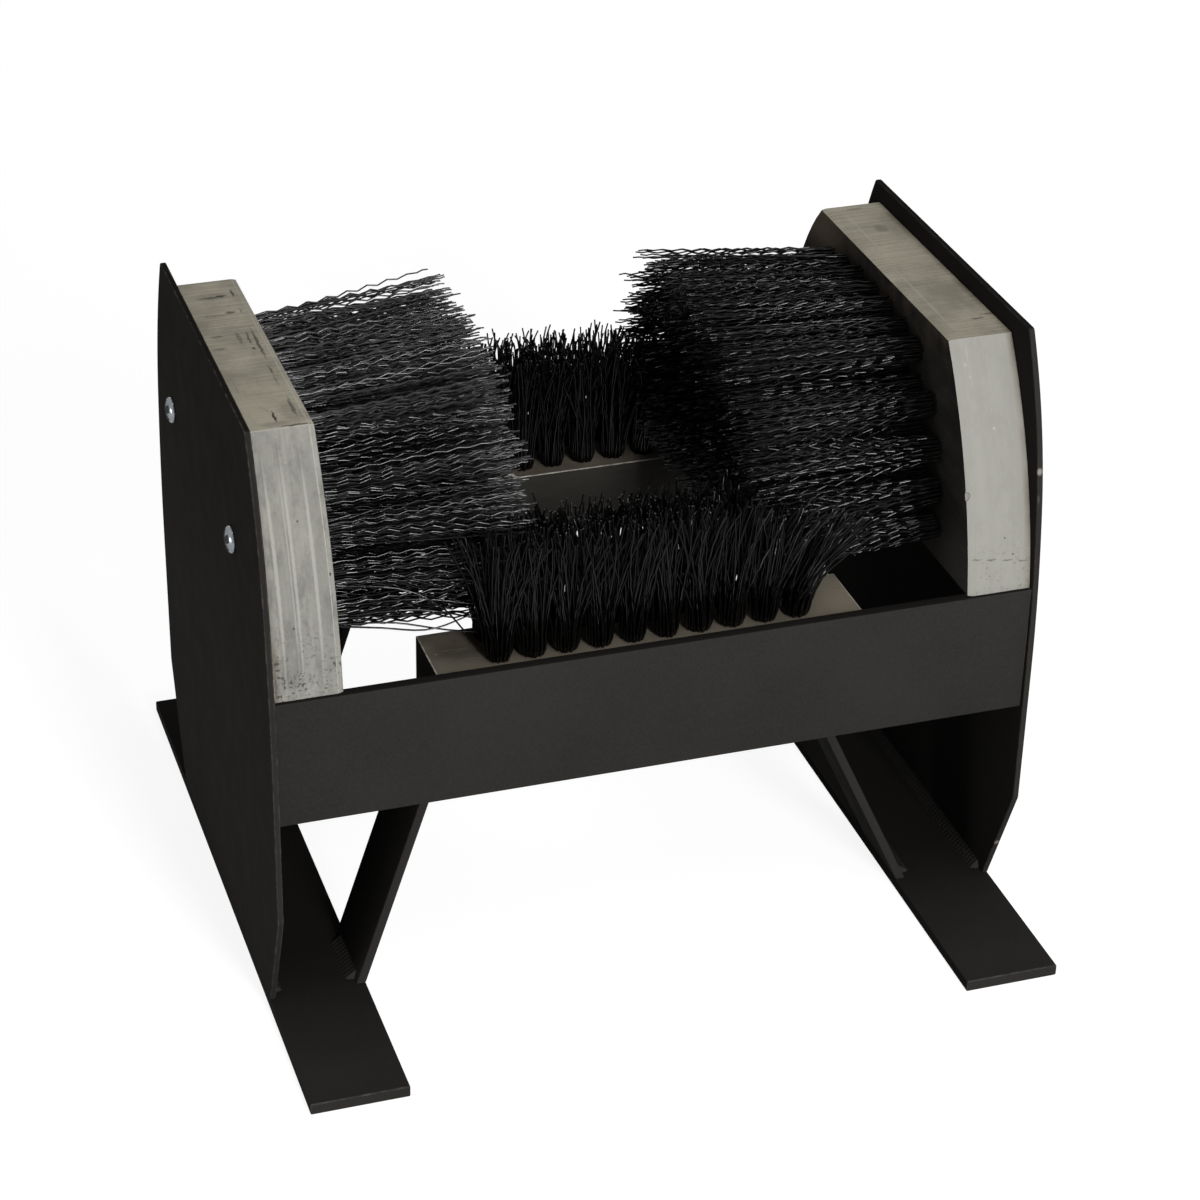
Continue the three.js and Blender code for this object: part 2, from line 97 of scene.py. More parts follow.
# In millimetres: the chip in the right board's corner, and strands that hang loose at the lower left
CHIP_PLACE = (162.0, -116.4, 249.5)
LOOSE_STRANDS = (
    ((-163.5, -88, 213), (-130, -93, 212), (-100, -97, 205), (-64, -98, 198)),
    ((-163.5, -86, 234), (-128, -92, 231), (-107, -97, 221), (-91, -97, 200)),
    ((-163.5, -90, 214), (-137, -96, 212), (-112, -98, 208), (-90, -98, 213)),
    ((-163.5, -87, 216), (-120, -93, 218), (-92, -96, 211), (-79, -98, 207), (-66, -96, 214)),
    ((-163.5, -84, 220), (-118, -92, 223), (-85, -96, 217), (-67, -97, 216)),
)

# A weld bead's size at its ends, and the angle that stays smooth on it
BEAD_END = 0.4
BEAD_ANGLE = math.radians(50)

# A screw head's small bevel, the share of its radius that the painted shade round its recess reaches,
# the size of its recess's floor as a share of the cutting tool's top, and how far the recess may be turned,
# in radians
HEAD_BEVEL = 0.0003
RECESS_SHADE_REACH = 0.78
RECESS_TAPER = 0.35
RECESS_TURNS = (0.55, 0.9)

# The camera's sensor in millimetres, and its shift as a share of the picture
SENSOR_WIDTH = 36.0
CAMERA_SHIFT = (0.07103, -0.01326)

# Places and sizes of the lamps, and the point that they face
LAMPS = {
    "key": ((0.22, -2.5, 1.15), (0.40, 1.3)),
    "strip": ((0.22, -0.9, 2.3), (0.70, 1.5)),
    "fill": ((2.2, -0.5, 1.0), (1.3, 1.3)),
    "side": ((-2.0, -0.45, 0.35), (0.8, 0.5)),
    "back": ((0.4, 2.3, 1.3), (1.5, 1.0)),
}
LAMP_TARGET = (0, 0, 0.15)

# Share of the white room that reflections show, and the floor's glow to the camera
MIRRORED_ROOM = 0.2
FLOOR_GLOW = 0.88


# Settings


def metres(name, description, default):
    return FloatProperty(name=name, description=description, default=default, unit="LENGTH")


def watts(name, description, default):
    return FloatProperty(name=name, description=description, default=default, unit="POWER")


def plain(name, description, default):
    return FloatProperty(name=name, description=description, default=default)


def whole(name, description, default):
    return IntProperty(name=name, description=description, default=default)


def tint(name, description, default):
    return FloatVectorProperty(name=name, description=description, default=default, subtype="COLOR", size=3)


class ScraperBoardSettings(bpy.types.PropertyGroup):
    """Sizes of the four brush boards beyond those of the frame."""

    arris: metres("Arris", "Width that is worn off the corners of the boards", 0.0007)
    worn_arris: metres("Worn arris", "Rounding of the right board's outer front corner", 0.0032)
    chip_size: metres("Chip size", "Size of the chip in the right board's inner front corner", 0.0034)


class ScraperSteelSettings(bpy.types.PropertyGroup):
    """Sizes of the steel edges, the weld beads and the screws."""

    edge: metres("Edge", "Rounding of the edges of bars and plates", 0.0006)
    bead_bulge: metres("Bead bulge", "How far a weld bead swells out of its corner", 0.0008)
    ripple_pitch: metres("Ripple pitch", "Distance between two ripples of a weld bead", 0.0028)
    ripple_share: plain("Ripple share", "Depth of the ripples as a share of the bead", 0.12)
    head_radius: metres("Head radius", "Radius of a screw head", 0.007)
    head_height: metres("Head height", "Height of a screw head", 0.0042)
    head_rim: metres("Head rim", "Height of the upright rim of a screw head", 0.0009)
    shank_radius: metres("Shank radius", "Radius of a screw's shank", 0.0024)
    shank_length: metres("Shank length", "Length of a screw below its head", 0.027)
    recess_span: metres("Recess span", "Width of the cross recess over two arms", 0.0100)
    recess_width: metres("Recess width", "Width of one arm of the cross recess", 0.0030)
    # The dark bands round the cross recess are painted shade
    recess_shade_width: metres("Recess shade width", "Width of the dark bands round the cross recess", 0.0040)
    recess_depth: metres("Recess depth", "Depth of the cross recess", 0.0022)


class ScraperBrushSettings(bpy.types.PropertyGroup):
    """Sizes of the bristles and of their tufts."""

    strand_diameter: metres("Strand diameter", "Thickness of one bristle at its root", 0.00136)
    crimp_pitch: metres("Crimp pitch", "Length of one wave of the crimped bristles", 0.0110)
    crimp_height: metres("Crimp height", "How far the crimp swings to each side", 0.00076)
    side_reach: metres("Side reach", "Length of the side bristles from their facing", 0.107)
    side_strands: whole("Strands in a side tuft", "Bristles in one tuft of the side brushes", 33)
    side_tuft_radius: metres("Side tuft radius", "Radius of the holes of the side tufts", 0.0070)
    side_rows: whole("Side rows", "Rows of tufts in a side brush", 5)
    side_row_pitch: metres("Side row pitch", "Height between two rows of side tufts", 0.0206)
    side_tuft_pitch: metres("Side tuft pitch", "Distance of the side tufts along a row", 0.0175)
    side_first_row: metres("Side first row", "Height of the lowest row of side tufts", 0.217)
    field_half: metres("Field half width", "Half width of the rounded field of side tufts", 0.104)
    field_rise: metres("Field rise", "Height of the field of side tufts", 0.115)
    field_middle: metres("Field middle", "How far the field's middle lies behind the scraper's", 0.012)
    outward_fan: plain("Outward fan", "How far the tufts lean away from the field's middle", 0.11)
    row_arch: metres("Row arch", "How far the middle of the top row is lifted", 0.006)
    bottom_strands: whole("Strands in a bottom tuft", "Bristles in one upright tuft", 58)
    bottom_tufts: whole("Bottom tufts in a row", "Upright tufts in one row of a bottom board", 10)
    bottom_tuft_radius: metres("Bottom tuft radius", "Radius of the holes of the upright tufts", 0.0060)
    bottom_tuft_pitch: metres("Bottom tuft pitch", "Distance of the upright tufts along a row", 0.0174)
    bottom_row_spacing: metres("Bottom row spacing", "Distance of the two rows of upright tufts", 0.0175)
    outer_row_shift: metres("Outer row shift", "How far the outer rows are moved outwards", 0.003)
    bottom_height: metres("Bottom height", "Height of the upright tufts above their board", 0.069)


class ScraperFinishSettings(bpy.types.PropertyGroup):
    """Colours of the finishes."""

    paint: tint("Paint", "Satin black of the welded frame", (0.0345, 0.0322, 0.0300))
    board: tint("Board", "Grey of the weathered board edges", (0.335, 0.328, 0.296))
    bare_top: tint("Bare top", "Dull brown of the bottom boards' upper faces", (0.158, 0.138, 0.107))
    facing: tint("Facing", "Black film on the faces of the boards", (0.0400, 0.0378, 0.0335))
    bristle: tint("Bristle", "Black of the bristles", (0.0032, 0.0031, 0.0030))
    zinc: tint("Zinc", "Bright plating of the screws", (0.82, 0.86, 0.90))


class ScraperStageSettings(bpy.types.PropertyGroup):
    """Camera, floor and light."""

    camera_place: FloatVectorProperty(
        name="Camera place", description="Where the camera stands",
        subtype="TRANSLATION", unit="LENGTH", size=3, default=(-0.46014, -1.37255, 0.99952),
    )
    camera_turn: FloatVectorProperty(
        name="Camera turn", description="How the camera is turned",
        subtype="EULER", unit="ROTATION", size=3,
        default=tuple(math.radians(a) for a in (59.905, -0.355, -16.890)),
    )
    lens: FloatProperty(
        name="Lens", description="Focal length in millimetres", default=94.42, unit="CAMERA",
    )
    floor_size: metres("Floor size", "Side of the square floor", 14.0)
    room_light: plain("Room light", "Strength of the light from all round", 0.14)
    key_power: watts("Key power", "Power of the lamp in front", 49.0)
    fill_power: watts("Fill power", "Power of the lamp at the right", 7.0)
    side_power: watts("Side power", "Power of the lamp at the left", 5.5)
    back_power: watts("Back power", "Power of the lamp behind", 4.5)
    strip_power: watts("Strip power", "Power of the broad lamp overhead", 8.5)


# Node trees


def feed(socket, value):
    """Gives an input its value: another node's socket, numbers, or None to leave it as it is."""
    if isinstance(value, bpy.types.NodeSocket):
        socket.id_data.links.new(value, socket)
    elif value is not None:
        socket.default_value = value


def add_node(source, kind, inputs=(), **settings):
    """A node in the tree that source is or belongs to, with its inputs fed by name or index."""
    node = source.id_data.nodes.new(kind)
    for key, value in settings.items():
        setattr(node, key, value)
    for key, value in dict(inputs).items():
        feed(node.inputs[key], value)
    return node


def maths(operation, *values):
    """The result of a Math node; its values are sockets and numbers, at least one a socket."""
    source = next(value for value in values if isinstance(value, bpy.types.NodeSocket))
    return add_node(source, "ShaderNodeMath", enumerate(values), operation=operation).outputs[0]


def times(first, second):
    return maths("MULTIPLY", first, second)


def vector_maths(operation, first, second=None, result="Vector"):
    """The result of a Vector Math node; first is a socket, and second is one or a triple."""
    node = add_node(first, "ShaderNodeVectorMath", {0: first, 1: second}, operation=operation)
    return node.outputs[result]


def soft_noise(place, scale, detail=3.0, roughness=0.5):
    """Smooth noise from 0 to 1; three numbers as scale stretch it along X, Y and Z."""
    if isinstance(scale, tuple):
        place = vector_maths("MULTIPLY", place, scale)
        scale = 1.0
    inputs = {"Vector": place, "Scale": scale, "Detail": detail, "Roughness": roughness}
    return add_node(place, "ShaderNodeTexNoise", inputs).outputs["Fac"]


def remap(value, low, high, out_low=0.0, out_high=1.0):
    """value, carried from low..high to out_low..out_high and kept inside it."""
    inputs = {"Value": value, "From Min": low, "From Max": high, "To Min": out_low, "To Max": out_high}
    return add_node(value, "ShaderNodeMapRange", inputs).outputs["Result"]


def blend(factor, first, second):
    """Mix of two colours; each is a socket or a triple, and the factor is a socket."""
    node = add_node(factor, "ShaderNodeMix", {0: factor}, data_type="RGBA")
    for index, value in ((6, first), (7, second)):
        feed(node.inputs[index], (*value, 1.0) if isinstance(value, tuple) else value)
    return node.outputs[2]


def shade(colour, factor):
    """The three numbers, each times the factor."""
    return tuple(c * factor for c in colour)


def object_vector(source):
    return add_node(source, "ShaderNodeTexCoord").outputs["Object"]


def split(vector):
    """The three parts of a vector."""
    return tuple(add_node(vector, "ShaderNodeSeparateXYZ", {"Vector": vector}).outputs)


def surface_normal(source):
    """The parts of the true surface direction along X, Y and Z."""
    return split(add_node(source, "ShaderNodeNewGeometry").outputs["True Normal"])


def arris_mask(source):
    """1 on the narrow worn faces along corners, and on the faces of a screw head that are painted dark as
    shade.
    """
    return add_node(source, "ShaderNodeAttribute", attribute_name="arris").outputs["Fac"]


def mask_group(name, **inputs):
    """A new node group with a Mask as its output, its inputs' sockets, and the output's socket."""
    group = bpy.data.node_groups.new(name, "ShaderNodeTree")
    for label, value in inputs.items():
        kind = "NodeSocketVector" if isinstance(value, tuple) else "NodeSocketFloat"
        made = group.interface.new_socket(label.replace("_", " "), in_out="INPUT", socket_type=kind)
        made.default_value = value
    group.interface.new_socket("Mask", in_out="OUTPUT", socket_type="NodeSocketFloat")
    start = add_node(group, "NodeGroupInput")
    end = add_node(group, "NodeGroupOutput")
    return group, start.outputs, end.inputs["Mask"]


def specks_group():
    """Scattered dots of dirt or paint: cells with a dot in a share of them."""
    group, given, mask = mask_group("Specks", Vector=(0.0, 0.0, 0.0), Cells=150.0, Size=0.12, Share=0.3)
    cells = add_node(group, "ShaderNodeTexVoronoi", {"Vector": given["Vector"], "Scale": given["Cells"]})
    chance = add_node(group, "ShaderNodeSeparateColor", {"Color": cells.outputs["Color"]}).outputs
    chosen = maths("LESS_THAN", chance["Red"], given["Share"])
    inside = maths("SUBTRACT", times(chance["Green"], given["Size"]), cells.outputs["Distance"])
    feed(mask, times(remap(inside, 0.0, 0.04), chosen))
    return group


def mark_group():
    """One worn mark: a soft-edged lens round a centre, with its half sizes along X, Y and Z."""
    group, given, mask = mask_group(
        "Mark", Vector=(0.0, 0.0, 0.0), Centre=(0.0, 0.0, 0.0), Half_size=(0.01, 0.01, 0.01),
        Strength=1.0, Others=0.0,
    )
    away = vector_maths("SUBTRACT", given["Vector"], given["Centre"])
    away = vector_maths("DIVIDE", away, given["Half size"])
    distance = vector_maths("LENGTH", away, result="Value")
    lens = times(remap(distance, 0.55, 1.15, 1.0, 0.0), given["Strength"])
    feed(mask, maths("MAXIMUM", lens, given["Others"]))
    return group


def use_group(name, place, **inputs):
    """The mask of a shared node group at place; the group is made the first time."""
    makers = {"Specks": specks_group, "Mark": mark_group}
    group = bpy.data.node_groups.get(name) or makers[name]()
    named = {key.replace("_", " "): value for key, value in inputs.items()}
    node = add_node(place, "ShaderNodeGroup", {"Vector": place, **named}, node_tree=group)
    return node.outputs["Mask"]


def marks_mask(place, marks, wander=0.0022):
    """The mask of all the marks, in millimetres, with edges that wander by so many metres."""
    noise = add_node(place, "ShaderNodeTexNoise", {"Vector": place, "Scale": 420.0})
    drift = vector_maths("SUBTRACT", noise.outputs["Color"], (0.5, 0.5, 0.5))
    drift = vector_maths("MULTIPLY", drift, (wander, wander, wander))
    place = vector_maths("ADD", place, drift)
    mask = None
    for centre, half, strength in marks:
        lens = {"Centre": shade(centre, MM), "Half_size": shade(half, MM)}
        mask = use_group("Mark", place, Strength=strength, Others=mask, **lens)
    return mask


def new_material(name, **values):
    """The Principled shader of a new material, with plain values on its own sockets."""
    material = bpy.data.materials.new(name)
    material.use_nodes = True
    shader = material.node_tree.nodes["Principled BSDF"]
    for key, value in values.items():
        shader.inputs[key.replace("_", " ")].default_value = value
    return shader


def dress(shader, tone, rough, relief=None, depth=None, strength=None):
    """Feeds the shader's colour and roughness, and a bump where relief is given."""
    feed(shader.inputs["Base Color"], tone)
    feed(shader.inputs["Roughness"], rough)
    if relief:
        inputs = {"Height": relief, "Distance": depth, "Strength": strength}
        feed(shader.inputs["Normal"], add_node(shader, "ShaderNodeBump", inputs).outputs["Normal"])


def seen_share(source):
    """1 for what the camera sees, also through glass, less in reflections, and 0 for other light."""
    rays = add_node(source, "ShaderNodeLightPath").outputs
    seen = maths("MAXIMUM", rays["Is Camera Ray"], rays["Is Transmission Ray"])
    return maths("MAXIMUM", seen, times(rays["Is Glossy Ray"], MIRRORED_ROOM))


# Worn places of the boards and plates, and a painted highlight on the crossbar, in millimetres


def board_marks(tops, ends):
    """Marks as centre, half sizes and strength, from rows of two places, two half sizes and strength.

    Those in tops lie at X and Y on the side boards' level tops, those in ends at X and Z on
    their front ends.
    """
    top_z, top_depth = 320, 3
    end_y, end_depth = -108, 34
    marks = [((x, y, top_z), (half_x, half_y, top_depth), share) for x, y, half_x, half_y, share in tops]
    marks += [((x, end_y, z), (half_x, end_depth, half_z), share) for x, z, half_x, half_z, share in ends]
    return marks


DARK_MARKS = board_marks(
    tops=(
        (-180, 70, 8, 1.5, 0.7), (-174.5, 70.6, 3, 1.2, 0.95), (-168, 73, 0.8, 4.5, 0.8),
        (-168.4, 51, 0.7, 3.5, 0.4), (-174, 50.3, 3, 1.5, 0.7), (-181, 48.5, 9, 0.9, 0.35),
        (-168.4, 12, 0.9, 19, 0.75), (-169.2, -19, 0.6, 6, 0.6), (-169.4, -30, 0.5, 8, 0.4),
        (-171.6, 19, 0.9, 8, 0.7), (-176.2, 20, 1.6, 9, 0.55), (-186, 24, 4, 1.5, 0.5),
        (-188.5, 10, 3.5, 1.5, 0.4), (-171.6, 6.4, 1, 1.2, 0.8), (-179, -69, 0.8, 6.5, 0.95),
        (-168.4, -61, 1.2, 11, 0.7), (-165, -69, 4, 7, 0.35), (-180, -76, 9, 3, 0.3),
        (-171, -79.4, 8, 0.9, 0.75), (-177, 22, 10, 13, 0.22), (-180, 72, 11, 5, 0.25),
        (-170, -66, 6, 13, 0.25), (183.5, 57, 4, 5, 0.35), (179.3, 85, 5, 1.5, 0.3),
        (186.5, -61, 4, 0.7, 0.8), (193.5, -57.5, 4, 0.7, 0.8), (169, -83.5, 9, 0.9, 0.6),
    ),
    ends=(
        (-164.5, 256.3, 0.9, 0.9, 0.9), (-176.9, 281.6, 0.6, 0.6, 0.8), (-184.3, 233.8, 0.7, 0.7, 0.8),
        (-194.2, 217.6, 1.9, 0.8, 0.9), (-194.0, 214.6, 1.7, 0.7, 0.9), (-195.2, 207, 0.7, 9, 0.5),
        (167, 217, 3.4, 0.5, 0.55), (175, 215.9, 3.4, 0.5, 0.6), (184, 214.5, 3.4, 0.5, 0.6),
        (192, 213.2, 3.4, 0.5, 0.55), (186.7, 217.6, 0.6, 0.6, 0.8), (182.5, 226.3, 0.6, 0.6, 0.8),
    ),
)
LIGHT_MARKS = board_marks(
    tops=(
        (172.3, 50, 0.8, 42, 0.45), (169.9, -30, 0.8, 42, 0.45),
    ),
    ends=(
        (-190, 257, 1.0, 64, 0.8), (-181.3, 257, 0.8, 64, 0.75), (-183.2, 257, 0.5, 64, 0.5),
        (-171.5, 257, 1.0, 64, 0.7), (169, 308.9, 1.1, 1.1, 1.0), (170.8, 303.5, 0.7, 0.7, 1.0),
        (180, 279.7, 0.8, 0.8, 1.0), (179.7, 288.2, 0.5, 0.5, 0.9), (170.6, 313.5, 0.7, 5, 0.6),
        (181.1, 306.5, 0.5, 10.5, 0.35),
    ),
)
# Chips in the paint; the last row is a painted highlight along the crossbar's top edge
PAINT_CHIPS_AND_HIGHLIGHT = (
    ((198, -122.9, 262), (1.6, 1.4, 2.2), 0.8), ((197.5, -126.4, 251), (1.2, 1.6, 6.5), 0.55),
    ((198, -117, 33.3), (1.6, 1.6, 1.8), 0.7), ((-200, -123, 19), (1, 0.9, 0.8), 0.8),
    ((0, -123.2, 198), (112, 0.8, 0.8), 0.3),
)


# Finishes


def paint_material(colour):
    """Satin black paint: fine grain, dust on level faces, painted shade on level faces, inner faces and the
    upper left plate, and worn edges painted lighter, partly as painted highlight.
    """
    shader = new_material("satin_paint", Specular_IOR_Level=0.003)
    place = object_vector(shader)
    nx, _, nz = surface_normal(shader)
    clouds = soft_noise(place, 14.0, 4.0, 0.6)
    tone = blend(remap(clouds, 0.35, 0.7), shade(colour, 0.93), shade(colour, 1.09))
    grain = soft_noise(place, 900.0, 2.0, 0.6)
    tone = blend(remap(grain, 0.35, 0.68, 0.0, 0.28), tone, shade(colour, 1.6))
    film = soft_noise(place, 38.0, 6.0, 0.62)
    level = remap(nz, 0.6, 0.95)
    dust = times(level, remap(film, 0.42, 0.75, 0.0, 0.25))
    tone = blend(dust, tone, (0.050, 0.045, 0.037))
    px, py, pz = split(place)
    # Painted shade: level faces are painted darker, least at the front ends of the feet
    foot = remap(py, -0.17, -0.07, 0.32, 0.85)
    painted_shade_on_tops = times(level, maths("MAXIMUM", foot, remap(pz, 0.02, 0.15, 0.0, 0.82)))
    tone = blend(painted_shade_on_tops, tone, shade(colour, 0.30))
    # Painted shade: faces that look inwards, towards the middle, are painted darker
    painted_shade_inside = remap(times(nx, px), -0.05, -0.15, 0.0, 0.6)
    tone = blend(painted_shade_inside, tone, shade(colour, 0.40))
    shaded = times(remap(px, -0.15, -0.19), remap(pz, 0.15, 0.29, 0.0, 0.45))
    tone = blend(shaded, tone, shade(colour, 0.35))
    specks = use_group("Specks", place, Cells=85.0, Size=0.055, Share=0.10)
    tone = blend(times(specks, 0.7), tone, (0.26, 0.24, 0.21))
    # Corners painted lighter: partly worn paint, partly painted highlight
    edge = remap(soft_noise(place, 160.0, 4.0, 0.65), 0.42, 0.68, 0.1, 0.9)
    edge = times(arris_mask(shader), edge)
    tone = blend(edge, tone, (0.085, 0.079, 0.071))
    # Chips in the paint, and a painted highlight along the crossbar's top edge
    chips_and_highlight = marks_mask(place, PAINT_CHIPS_AND_HIGHLIGHT, 0.0006)
    tone = blend(chips_and_highlight, tone, (0.40, 0.37, 0.32))
    rough = remap(soft_noise(place, 60.0, 5.0, 0.6), 0.3, 0.7, 0.50, 0.62)
    rough = maths("ADD", rough, times(dust, 0.3))
    dress(shader, tone, rough, soft_noise(place, 1100.0, 2.0, 0.5), 0.00012, 0.4)


def board_material(colour):
    """Weathered board edge: saw lines on level faces, upright bands on end faces, marks and pits, painted
    shade along the outer sides, and corners painted lighter, partly as painted highlight.
    """
    shader = new_material("weathered_board", Specular_IOR_Level=0.08)
    place = object_vector(shader)
    px, py, pz = split(place)
    nz = surface_normal(shader)[2]
    up = remap(maths("ABSOLUTE", nz), 0.55, 0.85)
    warm = (colour[0] * 1.42, colour[1] * 1.34, colour[2] * 1.17)
    light = shade(colour, 1.28)
    dark = shade(colour, 0.16)
    clouds = soft_noise(place, 30.0, 5.0, 0.6)
    grain = soft_noise(place, 520.0, 4.0, 0.65)

    saw = soft_noise(place, (16.0, 640.0, 300.0), 3.0, 0.7)
    level_tone = blend(remap(clouds, 0.38, 0.64), shade(warm, 1.14), shade(warm, 0.74))
    level_tone = blend(remap(saw, 0.38, 0.62, 0.0, 0.55), level_tone, shade(warm, 0.55))
    bands = soft_noise(place, (230.0, 3.0, 3.0), 2.0, 0.6)
    streaks = soft_noise(place, (800.0, 50.0, 14.0), 3.0, 0.6)
    end_tone = blend(remap(bands, 0.40, 0.64), shade(colour, 0.93), shade(colour, 1.10))
    end_tone = blend(remap(streaks, 0.5, 0.75, 0.0, 0.35), end_tone, shade(colour, 0.80))
    stains = soft_noise(place, (120.0, 60.0, 52.0), 5.0, 0.7)
    end_tone = blend(remap(stains, 0.47, 0.62, 0.0, 0.8), end_tone, shade(colour, 0.68))
    pale = soft_noise(place, (70.0, 50.0, 26.0), 4.0, 0.6)
    end_tone = blend(remap(pale, 0.54, 0.62, 0.0, 0.4), end_tone, shade(colour, 1.3))
    tone = blend(up, end_tone, level_tone)
    tone = blend(remap(grain, 0.50, 0.72, 0.0, 0.25), tone, shade(colour, 0.6))
    front = times(remap(py, -0.02, -0.07), remap(px, -0.1, 0.1, 0.5, 0.0))
    tone = blend(times(front, up), tone, shade(warm, 1.25))
    right = remap(px, -0.1, 0.1, 0.0, 0.68)
    tone = blend(times(right, maths("SUBTRACT", 1.0, up)), tone, light)

    patch = remap(soft_noise(place, 20.0, 2.0), 0.50, 0.66)
    scuffs = soft_noise(place, (240.0, 60.0, 60.0), 4.0, 0.65)
    scuff = times(remap(scuffs, 0.60, 0.70), patch)
    scuff = times(scuff, times(up, 0.45))
    worn = maths("MAXIMUM", scuff, marks_mask(place, DARK_MARKS))
    tone = blend(marks_mask(place, LIGHT_MARKS, 0.0007), tone, shade(colour, 1.5))
    tone = blend(worn, tone, dark)

    pits = remap(soft_noise(place, 620.0, 3.0, 0.75), 0.56, 0.63)
    low = remap(pz, 0.208, 0.240, 1.0, 0.0)
    spots = remap(soft_noise(place, 95.0, 3.0, 0.6), 0.42, 0.54)
    pit = times(times(pits, low), spots)
    pit = times(pit, remap(px, -0.1, 0.1, 0.9, 0.3))
    tone = blend(pit, tone, dark)
    # Painted shade: a brownish dark band where the boards' top and end faces meet their outer sides
    outer = remap(maths("ABSOLUTE", px), 0.1925, 0.1962)
    outer = times(outer, remap(clouds, 0.35, 0.6, 0.25, 0.8))
    tone = blend(outer, tone, (colour[0] * 0.42, colour[1] * 0.33, colour[2] * 0.25))
    # Corners painted lighter: partly worn, partly painted highlight
    edge = times(arris_mask(shader), remap(grain, 0.40, 0.56, 0.25, 0.85))
    tone = blend(edge, tone, shade(colour, 1.45))
    relief = times(maths("ADD", saw, streaks), 0.5)
    relief = maths("SUBTRACT", maths("SUBTRACT", relief, pit), worn)
    dress(shader, tone, remap(clouds, 0.3, 0.7, 0.66, 0.84), relief, 0.00028, 0.8)


def bare_material(colour):
    """Upper face of a bottom board: dusty brown, with painted light towards the front and right, and a
    painted highlight at its corners.
    """
    shader = new_material("bare_top", Specular_IOR_Level=0.05)
    place = object_vector(shader)
    clouds = soft_noise(place, 34.0, 5.0, 0.6)
    tone = blend(remap(clouds, 0.35, 0.68), shade(colour, 0.66), shade(colour, 1.25))
    px, py, _ = split(place)
    # Painted light: the top is painted paler towards its front and its right end
    pale = maths("MAXIMUM", remap(px, 0.065, 0.10, 0.0, 0.8), remap(py, -0.096, -0.114, 0.0, 0.5))
    tone = blend(pale, tone, shade(colour, 2.3))
    scratch = soft_noise(place, (60.0, 620.0, 60.0), 2.0, 0.5)
    tone = blend(remap(scratch, 0.66, 0.70, 0.0, 0.45), tone, (0.22, 0.20, 0.17))
    grit = use_group("Specks", place, Cells=420.0, Size=0.30, Share=0.16)
    tone = blend(times(grit, 0.7), tone, (0.28, 0.26, 0.22))
    # Painted highlight: the rounded corners are painted near white
    edge = remap(soft_noise(place, 260.0, 4.0, 0.65), 0.36, 0.58, 0.4, 1.0)
    edge = times(arris_mask(shader), edge)
    tone = blend(edge, tone, (0.75, 0.71, 0.64))
    rough = remap(clouds, 0.3, 0.7, 0.6, 0.8)
    dress(shader, tone, rough, soft_noise(place, 420.0, 4.0, 0.6), 0.0002, 0.6)


def facing_material(colour):
    """Black film on the boards, scuffed grey here and there, painted paler low down as painted light, and
    brown along the top, paler at the rear.
    """
    shader = new_material("black_facing", Specular_IOR_Level=0.03)
    place = object_vector(shader)
    _, py, pz = split(place)
    scuffs = soft_noise(place, (40.0, 40.0, 120.0), 5.0, 0.65)
    tone = blend(remap(scuffs, 0.4, 0.75), shade(colour, 0.8), shade(colour, 1.5))
    # Painted light: the film is painted paler low down, on the bottom boards and the lowest part of the
    # side boards
    tone = blend(remap(pz, 0.200, 0.235, 0.5, 0.0), tone, shade(colour, 2.6))
    rim = remap(pz, 0.300, 0.318, 0.0, 0.8)
    rim = times(rim, remap(soft_noise(place, 95.0, 4.0), 0.36, 0.64))
    tone = blend(rim, tone, (0.105, 0.082, 0.064))
    rear = times(remap(py, 0.05, 0.08), remap(pz, 0.292, 0.306))
    tone = blend(rear, tone, (0.19, 0.147, 0.113))
    scratch = soft_noise(place, (30.0, 30.0, 700.0), 2.0, 0.5)
    tone = blend(remap(scratch, 0.68, 0.72, 0.0, 0.4), tone, (0.05, 0.047, 0.042))
    rough = remap(scuffs, 0.3, 0.7, 0.5, 0.68)
    dress(shader, tone, rough, soft_noise(place, 700.0, 3.0, 0.5), 0.0001, 0.5)


def bristle_material(colour):
    """Glossy black plastic, a little dusty here and there."""
    shader = new_material("bristle_black", Specular_IOR_Level=0.6)
    place = object_vector(shader)
    dust = remap(soft_noise(place, 70.0, 4.0, 0.6), 0.5, 0.78, 0.0, 0.5)
    tone = blend(dust, colour, (0.012, 0.0105, 0.0085))
    dress(shader, tone, remap(soft_noise(place, 240.0, 2.0), 0.35, 0.65, 0.13, 0.24))


def zinc_material(colour):
    """Zinc plate: bright, with faint patches and a fine grain, and dark and dull where shade is painted in
    and round the recess.
    """
    shader = new_material("zinc_plate")
    place = object_vector(shader)
    clouds = soft_noise(place, 240.0, 3.0, 0.6)
    tone = blend(remap(clouds, 0.35, 0.7), shade(colour, 0.72), colour)
    # Painted shade: the recess's walls and floor and the bands round it are painted dark, rough and not
    # metallic
    tone = blend(times(arris_mask(shader), 0.9), tone, (0.02, 0.02, 0.022))
    recess_shade = times(arris_mask(shader), 0.7)
    rough = maths("MAXIMUM", remap(clouds, 0.3, 0.7, 0.14, 0.26), recess_shade)
    feed(shader.inputs["Metallic"], maths("SUBTRACT", 1.0, recess_shade))
    dress(shader, tone, rough, soft_noise(place, 1500.0, 2.0), 0.00004, 0.5)


def finish(name):
    """A finish of this scraper, made the first time it is asked for."""
    colours = bpy.context.scene.scraper_finish
    makers = {
        "satin_paint": (paint_material, colours.paint),
        "weathered_board": (board_material, colours.board),
        "bare_top": (bare_material, colours.bare_top),
        "black_facing": (facing_material, colours.facing),
        "bristle_black": (bristle_material, colours.bristle),
        "zinc_plate": (zinc_material, colours.zinc),
    }
    if name not in bpy.data.materials:
        maker, colour = makers[name]
        maker(tuple(colour))
    return bpy.data.materials[name]


# Meshes


